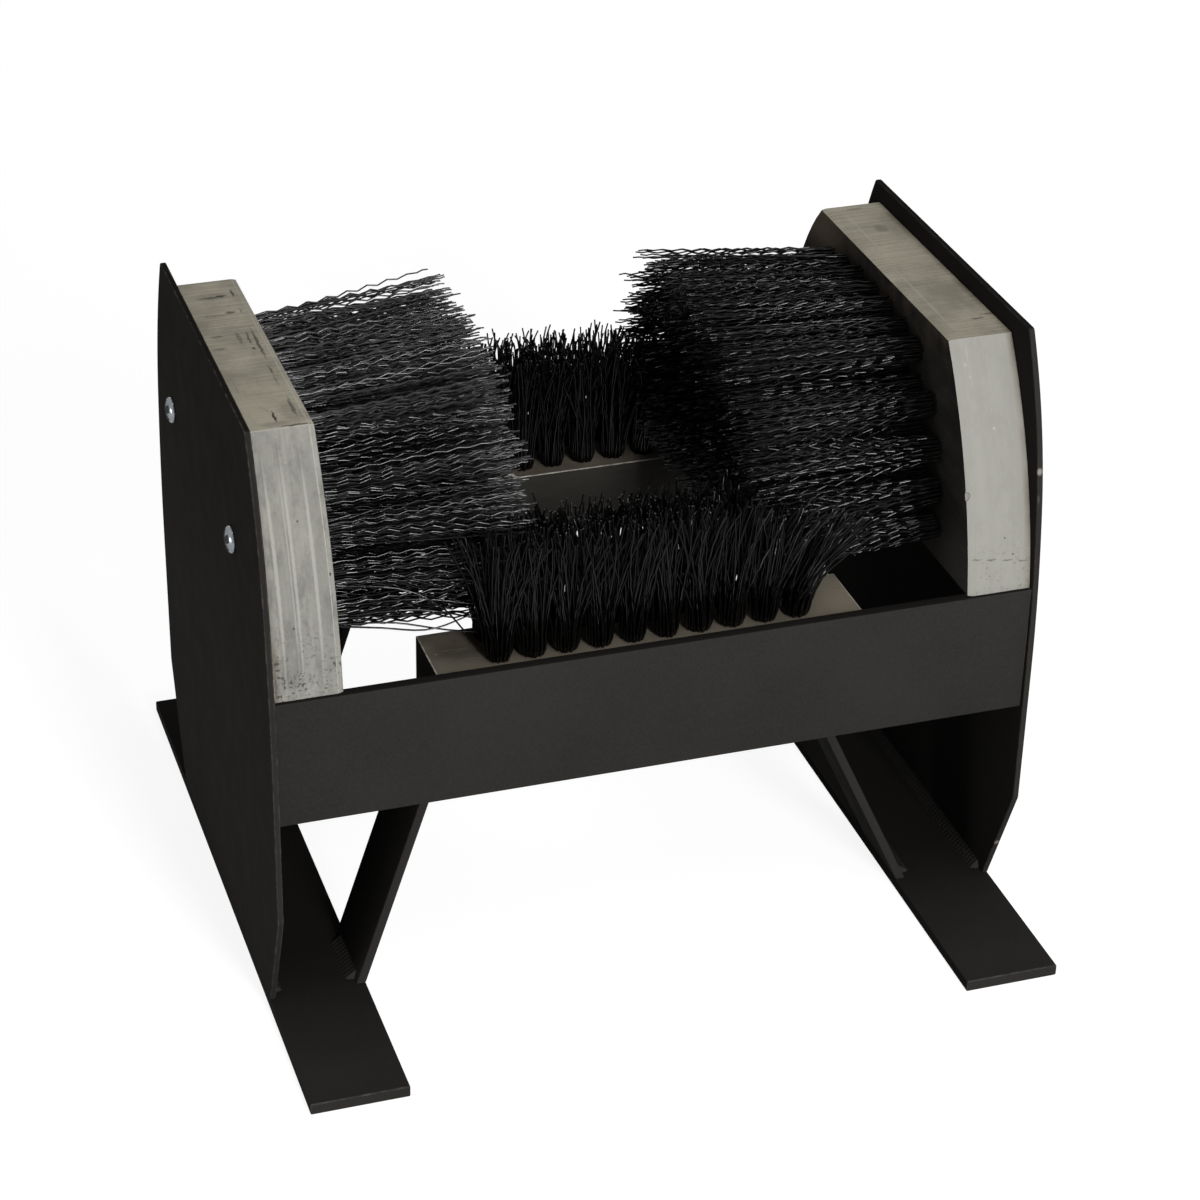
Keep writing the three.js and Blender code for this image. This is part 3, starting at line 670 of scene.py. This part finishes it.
def finished_piece(name, mesh, materials, replaced):
    """Links a mesh as a piece of the object, with its finishes, its body and its node."""
    mesh.name = name
    piece = bpy.data.objects.new(name, mesh)
    bpy.context.scene.collection.objects.link(piece)
    kept = [face.material_index for face in mesh.polygons]
    mesh.materials.clear()
    for material in materials:
        mesh.materials.append(finish(material))
    mesh.polygons.foreach_set("material_index", kept)
    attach(piece, "root")
    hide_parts(replaced)


def to_mesh(bm, smooth_angle=None):
    """The finished mesh, smooth across small angles, with worn corners kept apart from flat faces."""
    bmesh.ops.recalc_face_normals(bm, faces=bm.faces)
    worn = bm.faces.layers.float.get("arris")
    if smooth_angle is not None:
        for face in bm.faces:
            face.smooth = True
        for edge in bm.edges:
            alike = worn is None or len({round(face[worn]) for face in edge.link_faces}) == 1
            limit = math.pi / 2 if worn and alike and edge.link_faces[0][worn] else smooth_angle
            edge.smooth = alike and edge.calc_face_angle(0.0) < limit
    mesh = bpy.data.meshes.new("mesh")
    bm.to_mesh(mesh)
    bm.free()
    return mesh


def node_copy(name):
    """A merged copy of a CAD node's mesh, its flat faces in one piece each."""
    bm = bmesh.new()
    bm.from_mesh(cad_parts[name].data)
    bmesh.ops.remove_doubles(bm, verts=bm.verts, dist=MERGE_DISTANCE)
    bmesh.ops.dissolve_limit(bm, angle_limit=FLAT_ANGLE, verts=bm.verts, edges=bm.edges)
    return bm


def node_hull(name):
    """The closed outer shape of a CAD node without its holes."""
    bm = node_copy(name)
    bmesh.ops.delete(bm, geom=bm.edges, context="EDGES_FACES")
    made = bmesh.ops.convex_hull(bm, input=bm.verts)
    spare = [item for item in made["geom_interior"] if isinstance(item, bmesh.types.BMVert)]
    bmesh.ops.delete(bm, geom=spare, context="VERTS")
    bmesh.ops.dissolve_limit(bm, angle_limit=FLAT_ANGLE, verts=bm.verts, edges=bm.edges)
    return bm


def round_corners(bm, width, segments=CORNER_STEPS, chosen=None):
    """Rounds the sharp corners, or those that chosen allows, and marks the new faces as worn."""
    if not bm.faces.layers.float.get("arris"):
        bm.faces.layers.float.new("arris")
    edges = [
        edge for edge in bm.edges
        if edge.is_manifold and edge.calc_face_angle(0.0) > CORNER_ANGLE and (not chosen or chosen(edge))
    ]
    made = bmesh.ops.bevel(
        bm, geom=edges, offset=width, offset_type="OFFSET", affect="EDGES", segments=segments,
        profile=0.5, material=-1, clamp_overlap=True,
    )
    worn = bm.faces.layers.float.get("arris")
    for face in made["faces"]:
        face[worn] = 1.0


def carved(mesh, cutter):
    """The mesh with the cutter's shape taken out of it; both meshes are used up."""
    scene = bpy.context.scene
    body = bpy.data.objects.new("carved_body", mesh)
    tool = bpy.data.objects.new("carving_tool", cutter)
    for item in (body, tool):
        scene.collection.objects.link(item)
    cut = body.modifiers.new("cut", "BOOLEAN")
    cut.operation = "DIFFERENCE"
    cut.solver = "EXACT"
    cut.object = tool
    evaluated = body.evaluated_get(bpy.context.evaluated_depsgraph_get())
    result = bpy.data.meshes.new_from_object(evaluated)
    for item in (body, tool):
        bpy.data.objects.remove(item)
    for used in (mesh, cutter):
        bpy.data.meshes.remove(used)
    if not result.polygons:
        raise RuntimeError("carving left nothing")
    return result


def strands_mesh(strands, radius):
    """One mesh of thin three-sided tapered strands. A strand is (points, width factors)."""
    section = bpy.data.curves.new("strand_section", "CURVE")
    ring = section.splines.new("POLY")
    ring.points.add(2)
    ring.use_cyclic_u = True
    for index, point in enumerate(ring.points):
        angle = 2 * math.pi * index / 3
        point.co = (radius * math.cos(angle), radius * math.sin(angle), 0.0, 1.0)
    section_object = bpy.data.objects.new("strand_section", section)
    curve = bpy.data.curves.new("strands", "CURVE")
    curve.dimensions = "3D"
    curve.bevel_mode = "OBJECT"
    curve.bevel_object = section_object
    curve.use_fill_caps = True
    for points, widths in strands:
        spline = curve.splines.new("POLY")
        spline.points.add(len(points) - 1)
        spline.points.foreach_set("co", [c for p in points for c in (p.x, p.y, p.z, 1.0)])
        spline.points.foreach_set("radius", widths)
    holder = bpy.data.objects.new("strands", curve)
    for item in (section_object, holder):
        bpy.context.scene.collection.objects.link(item)
    evaluated = holder.evaluated_get(bpy.context.evaluated_depsgraph_get())
    raw = bpy.data.meshes.new_from_object(evaluated)
    bm = bmesh.new()
    bm.from_mesh(raw)
    bpy.data.objects.remove(holder)
    bpy.data.objects.remove(section_object)
    bpy.data.curves.remove(curve)
    bpy.data.curves.remove(section)
    bpy.data.meshes.remove(raw)
    bmesh.ops.remove_doubles(bm, verts=bm.verts, dist=MERGE_DISTANCE)
    if not bm.faces:
        raise RuntimeError("a brush came out empty")
    for face in bm.faces:
        face.smooth = True
    for edge in bm.edges:
        edge.smooth = edge.calc_length() > 2 * radius
    return to_mesh(bm)


def crimped(root, tip, sway, way, height, half_pitch, offset):
    """Points from root to tip, bowed by sway, and waved from side to side over a part of the way."""
    run = tip - root
    start, stop = CRIMPED_PART
    waves = max(4, round(run.length * (stop - start) / half_pitch))
    shares = [0.0]
    shares += [start + (stop - start) * i / waves for i in range(waves + 1)]
    shares += [(stop + 1.0) / 2, 1.0]
    points, widths = [], []
    for step, t in enumerate(shares):
        # The wave grows over the first quarter and fades towards the tip
        grow = min(1.0, 4 * t) * min(1.0, 3.0 * (1.08 - t))
        side = height * grow * (1 if (step + offset) % 2 else -1)
        points.append(root + run * t + sway * (t * t) + way * side)
        widths.append(1.0 - 0.28 * t)
    return points, widths


def sunflower(count, radius, turn):
    """Offsets that fill a disc evenly."""
    for k in range(count):
        distance = radius * math.sqrt((k + 0.5) / count)
        angle = k * GOLDEN_ANGLE + turn
        yield distance * math.cos(angle), distance * math.sin(angle)


def free_strand(places, steps=14):
    """A smooth loose strand through a few places, given in millimetres."""
    knots = [Vector(place) * MM for place in places]
    knots = [knots[0] * 2 - knots[1], *knots, knots[-1] * 2 - knots[-2]]
    points = []
    for step in range(steps + 1):
        along = step / steps * (len(knots) - 3)
        index = min(int(along), len(knots) - 4)
        t = along - index
        a, b, c, d = knots[index:index + 4]
        points.append((
            b * 2 + (c - a) * t + (a * 2 - b * 5 + c * 4 - d) * t**2 + (b * 3 - a - c * 3 + d) * t**3
        ) / 2)
    return points, [1.05 - 0.3 * i / steps for i in range(steps + 1)]


# Places of the boards and tufts


def side_wall(name, side):
    """Where the solid of a side board ends and the slice that holds its tufts begins, along X."""
    low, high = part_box(f"{name}_bristles")
    return low.x if side < 0 else high.x


def side_tufts(brushes):
    """Centres of the side tufts as (y, z), in rows that follow the rounded field."""
    floor = brushes.side_first_row - FIELD_START
    for row in range(brushes.side_rows):
        z = brushes.side_first_row + row * brushes.side_row_pitch
        share = (z - floor) / brushes.field_rise
        curve = (1 - share**FIELD_POWER) ** (1 / FIELD_POWER)
        half = brushes.field_half * curve - brushes.side_tuft_radius
        count = int(2 * half / brushes.side_tuft_pitch) + 1
        for i in range(count):
            across = 2 * i / (count - 1) - 1
            lift = brushes.row_arch * (row / (brushes.side_rows - 1)) * (1 - across**2)
            yield brushes.field_middle + half * across, z + lift


def bottom_tufts(brushes, name, end):
    """Centres of the upright tufts of the front or rear board as (x, y)."""
    low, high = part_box(f"{name}_brush_board")
    middle = (low.y + high.y) / 2
    half = brushes.bottom_row_spacing / 2
    for y in (middle - end * half, middle + end * (half + brushes.outer_row_shift)):
        for i in range(brushes.bottom_tufts):
            yield brushes.bottom_tuft_pitch * (i - (brushes.bottom_tufts - 1) / 2), y


# Operators


class SCRAPER_OT_paint_frame(bpy.types.Operator):
    """Rounds the edges of the bars and plates a little and paints them satin black"""

    bl_idname = "scraper.paint_frame"
    bl_label = "Paint frame"

    def execute(self, context):
        width = context.scene.scraper_steel.edge
        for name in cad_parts:
            if name.endswith(STEEL_NODES):
                bm = node_copy(name)
                round_corners(bm, width)
                mesh = to_mesh(bm, CURVE_ANGLE)
                finished_piece(f"{name}_steel", mesh, ["satin_paint"], name)
        return {"FINISHED"}


class SCRAPER_OT_weld_beads(bpy.types.Operator):
    """Lays a rippled weld bead along each weld of the frame"""

    bl_idname = "scraper.weld_beads"
    bl_label = "Weld beads"

    def execute(self, context):
        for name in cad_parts:
            if name.endswith("weld"):
                mesh = self.bead(name, context.scene.scraper_steel)
                finished_piece(f"{name}_bead", mesh, ["satin_paint"], name)
        return {"FINISHED"}

    @staticmethod
    def bead(name, steel):
        """A bead swept along the weld from its three-cornered section, with a ripple."""
        low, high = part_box(name)
        size = high - low
        axis = max(range(3), key=lambda k: size[k])
        bm = node_copy(name)
        far = [v for v in bm.verts if v.co[axis] > (low[axis] + high[axis]) / 2]
        bmesh.ops.delete(bm, geom=far, context="VERTS")
        bmesh.ops.delete(bm, geom=bm.faces, context="FACES_ONLY")
        toe = max(bm.edges, key=lambda edge: edge.calc_length())
        root = next(v for v in bm.verts if v not in toe.verts).co.copy()
        bmesh.ops.subdivide_edges(bm, edges=[toe], cuts=4)
        for v in bm.verts:
            away = v.co - root
            if len(v.link_edges) == 2 and away.length > MERGE_DISTANCE:
                reach = min((v.co - other.co).length for other in bm.verts if other is not v)
                v.co += away.normalized() * steel.bead_bulge * min(1.0, reach / steel.bead_bulge)
        face = bmesh.ops.contextual_create(bm, geom=bm.edges)["faces"]
        steps = max(8, round(size[axis] / steel.ripple_pitch * RIPPLE_STEPS))
        step = Vector((0, 0, 0))
        step[axis] = size[axis] / steps
        across = Vector((0, 0, 0))
        across[axis] = 1.0
        bmesh.ops.spin(
            bm, geom=face, cent=root, axis=across, dvec=step, angle=0.0, steps=steps, use_duplicate=False,
        )
        for v in bm.verts:
            along = v.co[axis] - low[axis]
            wave = abs(math.cos(math.pi * along / steel.ripple_pitch))
            left = min(along, size[axis] - along) / (2 * steel.bead_bulge)
            closing = BEAD_END + (1 - BEAD_END) * math.sqrt(min(1.0, max(0.0, left)))
            grow = (1 - steel.ripple_share * wave) * closing
            centre = root.copy()
            centre[axis] = v.co[axis]
            v.co = centre + (v.co - centre) * grow
        return to_mesh(bm, BEAD_ANGLE)


class SCRAPER_OT_screws(bpy.types.Operator):
    """Turns the pan head screws with their cross recesses"""

    bl_idname = "scraper.screws"
    bl_label = "Screws"

    def execute(self, context):
        steel = context.scene.scraper_steel
        chance = random.Random("screws")
        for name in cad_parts:
            if not name.endswith("screw"):
                continue
            low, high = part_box(name)
            middle = (low + high) / 2
            if name.endswith("rail_screw"):
                outward = Vector((0, 0, -1))
                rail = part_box(f"{name.split('_')[0]}_rail")
                seat = Vector((middle.x, middle.y, rail[0].z))
            else:
                side = math.copysign(1.0, middle.x)
                outward = Vector((side, 0, 0))
                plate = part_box(f"{name.split('_')[0]}_side_plate")
                seat = Vector((plate[1 if side > 0 else 0].x, middle.y, middle.z))
            mesh = self.screw(steel)
            turn = Matrix.Rotation(chance.uniform(*RECESS_TURNS), 4, "Z")
            facing = outward.to_track_quat("Z", "Y").to_matrix().to_4x4()
            mesh.transform(Matrix.Translation(seat) @ facing @ turn)
            finished_piece(f"{name}_turned", mesh, ["zinc_plate"], name)
        return {"FINISHED"}

    @staticmethod
    def screw(steel):
        """A screw that stands on the origin with its head up."""
        bm = bmesh.new()
        crown = steel.head_height - steel.head_rim
        profile = [
            (0.0, -steel.shank_length), (steel.shank_radius, 2 * steel.shank_radius - steel.shank_length),
            (steel.shank_radius, 0.0), (steel.head_radius - HEAD_BEVEL, 0.0),
            (steel.head_radius, HEAD_BEVEL), (steel.head_radius, steel.head_rim),
        ]
        for step in range(1, CROWN_STEPS + 1):
            angle = math.pi / 2 * step / CROWN_STEPS
            profile.append((steel.head_radius * math.cos(angle), steel.head_rim + crown * math.sin(angle)))
        corners = [bm.verts.new((x, 0.0, z)) for x, z in profile]
        corners[-1].co.x = 0.0
        line = [bm.edges.new(pair) for pair in zip(corners, corners[1:])]
        bmesh.ops.spin(
            bm, geom=[*corners, *line], cent=(0, 0, 0), axis=(0, 0, 1), angle=2 * math.pi,
            steps=TURNING_STEPS, use_merge=True,
        )
        bmesh.ops.remove_doubles(bm, verts=bm.verts, dist=MERGE_DISTANCE)
        result = carved(to_mesh(bm), SCRAPER_OT_screws.cross(steel))
        bm = bmesh.new()
        bm.from_mesh(result)
        bpy.data.meshes.remove(result)
        # The walls and the floor of the recess, and the bands round it, are marked for painted shade
        sunk = bm.faces.layers.float.new("arris")
        for face in bm.faces:
            middle = face.calc_center_median()
            inside = math.hypot(middle.x, middle.y) < steel.head_radius * RECESS_SHADE_REACH
            wall = steel.head_rim < middle.z and abs(face.normal.z) < 0.85
            floor = 0 < middle.z < steel.head_height - steel.recess_depth * 0.8
            band = min(abs(middle.x), abs(middle.y)) < steel.recess_shade_width / 2 and middle.z > steel.head_rim
            face[sunk] = float(inside and (wall or floor or band))
        return to_mesh(bm, CORNER_ANGLE)

    @staticmethod
    def cross(steel):
        """The tool that cuts the cross recess: four arms round a square, narrower below."""
        bm = bmesh.new()
        height = 2 * steel.recess_depth
        place = Matrix.Translation((0, 0, steel.head_height - steel.recess_depth + height / 2))
        size = Matrix.Diagonal((steel.recess_width, steel.recess_width, height, 1.0))
        bmesh.ops.create_cube(bm, size=1.0, matrix=place @ size)
        bmesh.ops.recalc_face_normals(bm, faces=bm.faces)
        sides = [face for face in bm.faces if abs(face.normal.z) < 0.5]
        made = bmesh.ops.extrude_discrete_faces(bm, faces=sides)
        for face in made["faces"]:
            reach = face.normal * (steel.recess_span - steel.recess_width) / 2
            bmesh.ops.translate(bm, verts=face.verts, vec=reach)
        for v in bm.verts:
            if v.co.z < steel.head_height:
                v.co.x *= RECESS_TAPER
                v.co.y *= RECESS_TAPER
        return to_mesh(bm)


class SCRAPER_OT_boards(bpy.types.Operator):
    """Saws the four brush boards, with a black film on the faces that hold the tufts"""

    bl_idname = "scraper.boards"
    bl_label = "Boards"

    def execute(self, context):
        boards = context.scene.scraper_boards
        for name, side in SIDES:
            mesh = self.side_board(name, side, boards)
            looks = ["weathered_board", "black_facing"]
            finished_piece(f"{name}_sawn_board", mesh, looks, f"{name}_brush_board")
        for name, _ in ENDS:
            mesh = self.bottom_board(name, boards)
            looks = ["bare_top", "black_facing"]
            finished_piece(f"{name}_bottom_board", mesh, looks, f"{name}_brush_board")
        return {"FINISHED"}

    @staticmethod
    def side_board(name, side, boards):
        """A side board out to the roots of its tufts, its inner face black; the right one is chipped."""
        wall = side_wall(name, side)
        bm = node_hull(f"{name}_brush_board")
        for v in bm.verts:
            if abs(v.co.x - wall) < TOUCHING:
                v.co.x -= side * SIDE_FACING
        outer = max(abs(v.co.x) for v in bm.verts)
        if side > 0:
            front = min(v.co.y for v in bm.verts)
            round_corners(bm, boards.worn_arris, WORN_CORNER_STEPS, lambda edge: all(
                v.co.x > outer - TOUCHING and v.co.y < front / 2 for v in edge.verts
            ))
        round_corners(bm, boards.arris)
        for face in bm.faces:
            if face.normal.x * side < -0.9:
                face.material_index = 1
        mesh = to_mesh(bm, CURVE_ANGLE)
        if side > 0:
            chip = bmesh.new()
            place = Matrix.Translation(Vector(CHIP_PLACE) * MM) @ Matrix.Rotation(0.6, 4, "Y")
            size = boards.chip_size
            stretch = Matrix.Diagonal((size * 0.7, size * 0.8, size, 1.0))
            bmesh.ops.create_icosphere(chip, subdivisions=2, radius=1.0, matrix=place @ stretch)
            mesh = carved(mesh, to_mesh(chip))
        return mesh

    @staticmethod
    def bottom_board(name, boards):
        """A bottom board up to the roots of its tufts: bare top, black sides."""
        bm = node_hull(f"{name}_brush_board")
        top = max(v.co.z for v in bm.verts)
        for v in bm.verts:
            if v.co.z > top - TOUCHING:
                v.co.z += BOTTOM_FACING
        round_corners(bm, boards.arris)
        for face in bm.faces:
            if face.normal.z < 0.3:
                face.material_index = 1
        return to_mesh(bm, CURVE_ANGLE)


class SCRAPER_OT_side_brushes(bpy.types.Operator):
    """Makes the long crimped bristles of the side brushes, tuft by tuft"""

    bl_idname = "scraper.side_brushes"
    bl_label = "Side brushes"

    def execute(self, context):
        brushes = context.scene.scraper_brushes
        for name, side in SIDES:
            chance = random.Random(f"{name} brush")
            wall = side_wall(name, side) - side * SIDE_FACING
            tufts = list(side_tufts(brushes))
            half = len(tufts) // 2
            for part, chosen in (("lower", tufts[:half]), ("upper", tufts[half:])):
                strands = []
                for y, z in chosen:
                    strands += self.tuft(brushes, side, wall, y, z, chance)
                if side < 0 and part == "lower":
                    strands += [free_strand(places) for places in LOOSE_STRANDS]
                title = f"{name}_{part}_side_bristles"
                mesh = strands_mesh(strands, brushes.strand_diameter / 2)
                finished_piece(title, mesh, ["bristle_black"], f"{name}_bristles")
        return {"FINISHED"}

    @staticmethod
    def tuft(brushes, side, wall, y, z, chance):
        """The strands of one tuft, from just inside its hole to their free ends."""
        strands = []
        phase = chance.randrange(2)
        lean_y = chance.gauss(0, 0.0025)
        lean_z = chance.gauss(0.0005, 0.0020)
        turn = chance.uniform(0, 2 * math.pi)
        radius = brushes.side_tuft_radius - SIDE_CLEARANCE
        for dy, dz in sunflower(brushes.side_strands, radius, turn):
            root = Vector((wall + side * ROOT_DEPTH, y + dy, z + dz))
            reach = brushes.side_reach + chance.uniform(-0.006, 0.001)
            tip_y = y + dy * SIDE_SPREAD + lean_y + brushes.outward_fan / 2 * (y - brushes.field_middle)
            tip_z = z + dz * SIDE_SPREAD + lean_z + brushes.outward_fan * (z - FIELD_CENTRE_HEIGHT)
            tip_y += chance.gauss(0, 0.0026)
            tip_z += chance.gauss(0, 0.0022)
            tip = Vector((wall - side * reach, tip_y, tip_z))
            tip.z = max(tip.z, LOWEST_TIP + chance.uniform(0, 0.002))
            tip.z = min(tip.z, root.z + TIP_RISE)
            sway = Vector((0, chance.gauss(0, 0.0024), chance.gauss(0, 0.0017)))
            tilt = chance.gauss(0, 0.65)
            way = Vector((0, math.sin(tilt), math.cos(tilt)))
            height = brushes.crimp_height * chance.uniform(0.6, 1.4)
            offset = phase if chance.random() < 0.82 else 1 - phase
            half_pitch = brushes.crimp_pitch / 2 * chance.uniform(0.95, 1.05)
            strands.append(crimped(root, tip, sway, way, height, half_pitch, offset))
        return strands


class SCRAPER_OT_bottom_brushes(bpy.types.Operator):
    """Makes the upright tufts of the front and rear boards"""

    bl_idname = "scraper.bottom_brushes"
    bl_label = "Bottom brushes"

    def execute(self, context):
        brushes = context.scene.scraper_brushes
        for name, end in ENDS:
            chance = random.Random(f"{name} brush")
            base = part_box(f"{name}_brush_board")[1].z + BOTTOM_FACING
            half_run = brushes.bottom_tuft_pitch * (brushes.bottom_tufts - 1) / 2
            strands = []
            for x, y in bottom_tufts(brushes, name, end):
                strands += self.tuft(brushes, x, y, base, x / half_run, chance)
            title = f"{name}_bottom_bristles"
            mesh = strands_mesh(strands, brushes.strand_diameter / 2)
            finished_piece(title, mesh, ["bristle_black"], f"{name}_bristles")
        return {"FINISHED"}

    @staticmethod
    def tuft(brushes, x, y, base, share, chance):
        """The strands of one upright tuft: a round swollen foot that opens towards the tips."""
        strands = []
        turn = chance.uniform(0, 2 * math.pi)
        # All tufts lean outwards a little; those in the right quarter of the board also bend over
        bent = max(0.0, 2 * share - 1) ** 1.5
        lean = 0.003 * share + 0.022 * bent + chance.gauss(0, 0.0015)
        radius = brushes.bottom_tuft_radius - BOTTOM_CLEARANCE
        for dx, dy in sunflower(brushes.bottom_strands, radius, turn):
            height = (brushes.bottom_height + chance.uniform(-0.010, 0.001)) * (1 - 0.26 * bent)
            spread = 0.85 + chance.gauss(0, 0.3)
            drift = Vector((lean + chance.gauss(0, 0.0078), chance.gauss(0, 0.0040), 0))
            bow = Vector((chance.gauss(0, 0.0026), chance.gauss(0, 0.0022), 0))
            tilt = chance.uniform(0, 2 * math.pi)
            way = Vector((math.cos(tilt), math.sin(tilt), 0))
            crimp = brushes.crimp_height * chance.uniform(0.12, 0.42)
            points, widths = [], []
            for step in range(UPRIGHT_STEPS + 1):
                t = (step / UPRIGHT_STEPS) ** 1.25
                swell = 0.84 + 0.42 * math.sin(math.pi / 2 * min(1.0, t / 0.12))
                opening = swell + spread * max(0.0, t - 0.2) ** 1.2
                zig = crimp * min(1.0, 2 * t) * (1 if step % 2 else -1)
                level = base - ROOT_DEPTH + (height + ROOT_DEPTH) * t
                centre = Vector((x + dx * opening, y + dy * opening, level))
                points.append(centre + drift * t**1.8 + bow * math.sin(math.pi * t) * t + way * zig)
                widths.append(1.1 - 0.38 * t)
            strands.append((points, widths))
        return strands


class SCRAPER_OT_set_stage(bpy.types.Operator):
    """Sets the floor, the soft lamps, the white world and the camera"""

    bl_idname = "scraper.set_stage"
    bl_label = "Set stage"

    def execute(self, context):
        stage = context.scene.scraper_stage
        self.floor(stage)
        self.world(context.scene, stage)
        for name, (place, size) in LAMPS.items():
            self.lamp(f"{name}_lamp", place, size, getattr(stage, f"{name}_power"))
        data = bpy.data.cameras.new("camera")
        data.lens = stage.lens
        data.sensor_width = SENSOR_WIDTH
        data.shift_x, data.shift_y = CAMERA_SHIFT
        camera = bpy.data.objects.new("camera", data)
        context.scene.collection.objects.link(camera)
        camera.location = stage.camera_place
        camera.rotation_euler = Euler(stage.camera_turn)
        context.scene.camera = camera
        context.scene.view_settings.view_transform = "Standard"
        return {"FINISHED"}

    @staticmethod
    def floor(stage):
        """A grey floor that glows near white to the camera, so that a faint shadow is left."""
        bm = bmesh.new()
        bmesh.ops.create_grid(bm, x_segments=1, y_segments=1, size=stage.floor_size / 2)
        mesh = bpy.data.meshes.new("floor")
        bm.to_mesh(mesh)
        bm.free()
        floor = bpy.data.objects.new("floor", mesh)
        bpy.context.scene.collection.objects.link(floor)
        shader = new_material(
            "floor_white", Roughness=0.9, Specular_IOR_Level=0.0, Base_Color=(0.30, 0.30, 0.30, 1.0),
            Emission_Color=(1.0, 1.0, 1.0, 1.0),
        )
        feed(shader.inputs["Emission Strength"], times(seen_share(shader), FLOOR_GLOW))
        mesh.materials.append(bpy.data.materials["floor_white"])

    @staticmethod
    def world(scene, stage):
        """White to the camera, dimmer in reflections, and soft light from all round."""
        world = bpy.data.worlds.new("white_room")
        scene.world = world
        world.use_nodes = True
        tree = world.node_tree
        tree.nodes.clear()
        strength = remap(seen_share(tree), 0.0, 1.0, stage.room_light, 1.0)
        inputs = {"Color": (1.0, 1.0, 1.0, 1.0), "Strength": strength}
        background = add_node(tree, "ShaderNodeBackground", inputs)
        add_node(tree, "ShaderNodeOutputWorld", {"Surface": background.outputs["Background"]})

    @staticmethod
    def lamp(name, place, size, power):
        data = bpy.data.lights.new(name, "AREA")
        data.shape = "RECTANGLE"
        data.size, data.size_y = size
        data.energy = power
        lamp = bpy.data.objects.new(name, data)
        bpy.context.scene.collection.objects.link(lamp)
        lamp.location = place
        aim = Vector(LAMP_TARGET) - Vector(place)
        lamp.rotation_euler = aim.to_track_quat("-Z", "Y").to_euler()


class SCRAPER_PT_panel(bpy.types.Panel):
    """Lists the scraper's settings and steps"""

    bl_idname = "SCRAPER_PT_panel"
    bl_label = "Boot scraper"
    bl_space_type = "VIEW_3D"
    bl_region_type = "UI"
    bl_category = "Scraper"

    def draw(self, context):
        for name in SETTINGS:
            settings = getattr(context.scene, name)
            box = self.layout.box()
            for key in settings.__annotations__:
                box.prop(settings, key)
        for step in STEPS:
            self.layout.operator(step.bl_idname)


SETTINGS = {
    "scraper_boards": ScraperBoardSettings,
    "scraper_steel": ScraperSteelSettings,
    "scraper_brushes": ScraperBrushSettings,
    "scraper_finish": ScraperFinishSettings,
    "scraper_stage": ScraperStageSettings,
}
STEPS = (
    SCRAPER_OT_set_stage,
    SCRAPER_OT_paint_frame,
    SCRAPER_OT_weld_beads,
    SCRAPER_OT_screws,
    SCRAPER_OT_boards,
    SCRAPER_OT_side_brushes,
    SCRAPER_OT_bottom_brushes,
)


def register():
    for cls in (*SETTINGS.values(), *STEPS, SCRAPER_PT_panel):
        bpy.utils.register_class(cls)
    for name, cls in SETTINGS.items():
        setattr(bpy.types.Scene, name, PointerProperty(type=cls))


def unregister():
    for name in SETTINGS:
        delattr(bpy.types.Scene, name)
    for cls in (SCRAPER_PT_panel, *reversed(STEPS), *SETTINGS.values()):
        bpy.utils.unregister_class(cls)


def main():
    register()
    for step in STEPS:
        group, name = step.bl_idname.split(".")
        getattr(getattr(bpy.ops, group), name)()


if __name__ == "__main__":
    main()
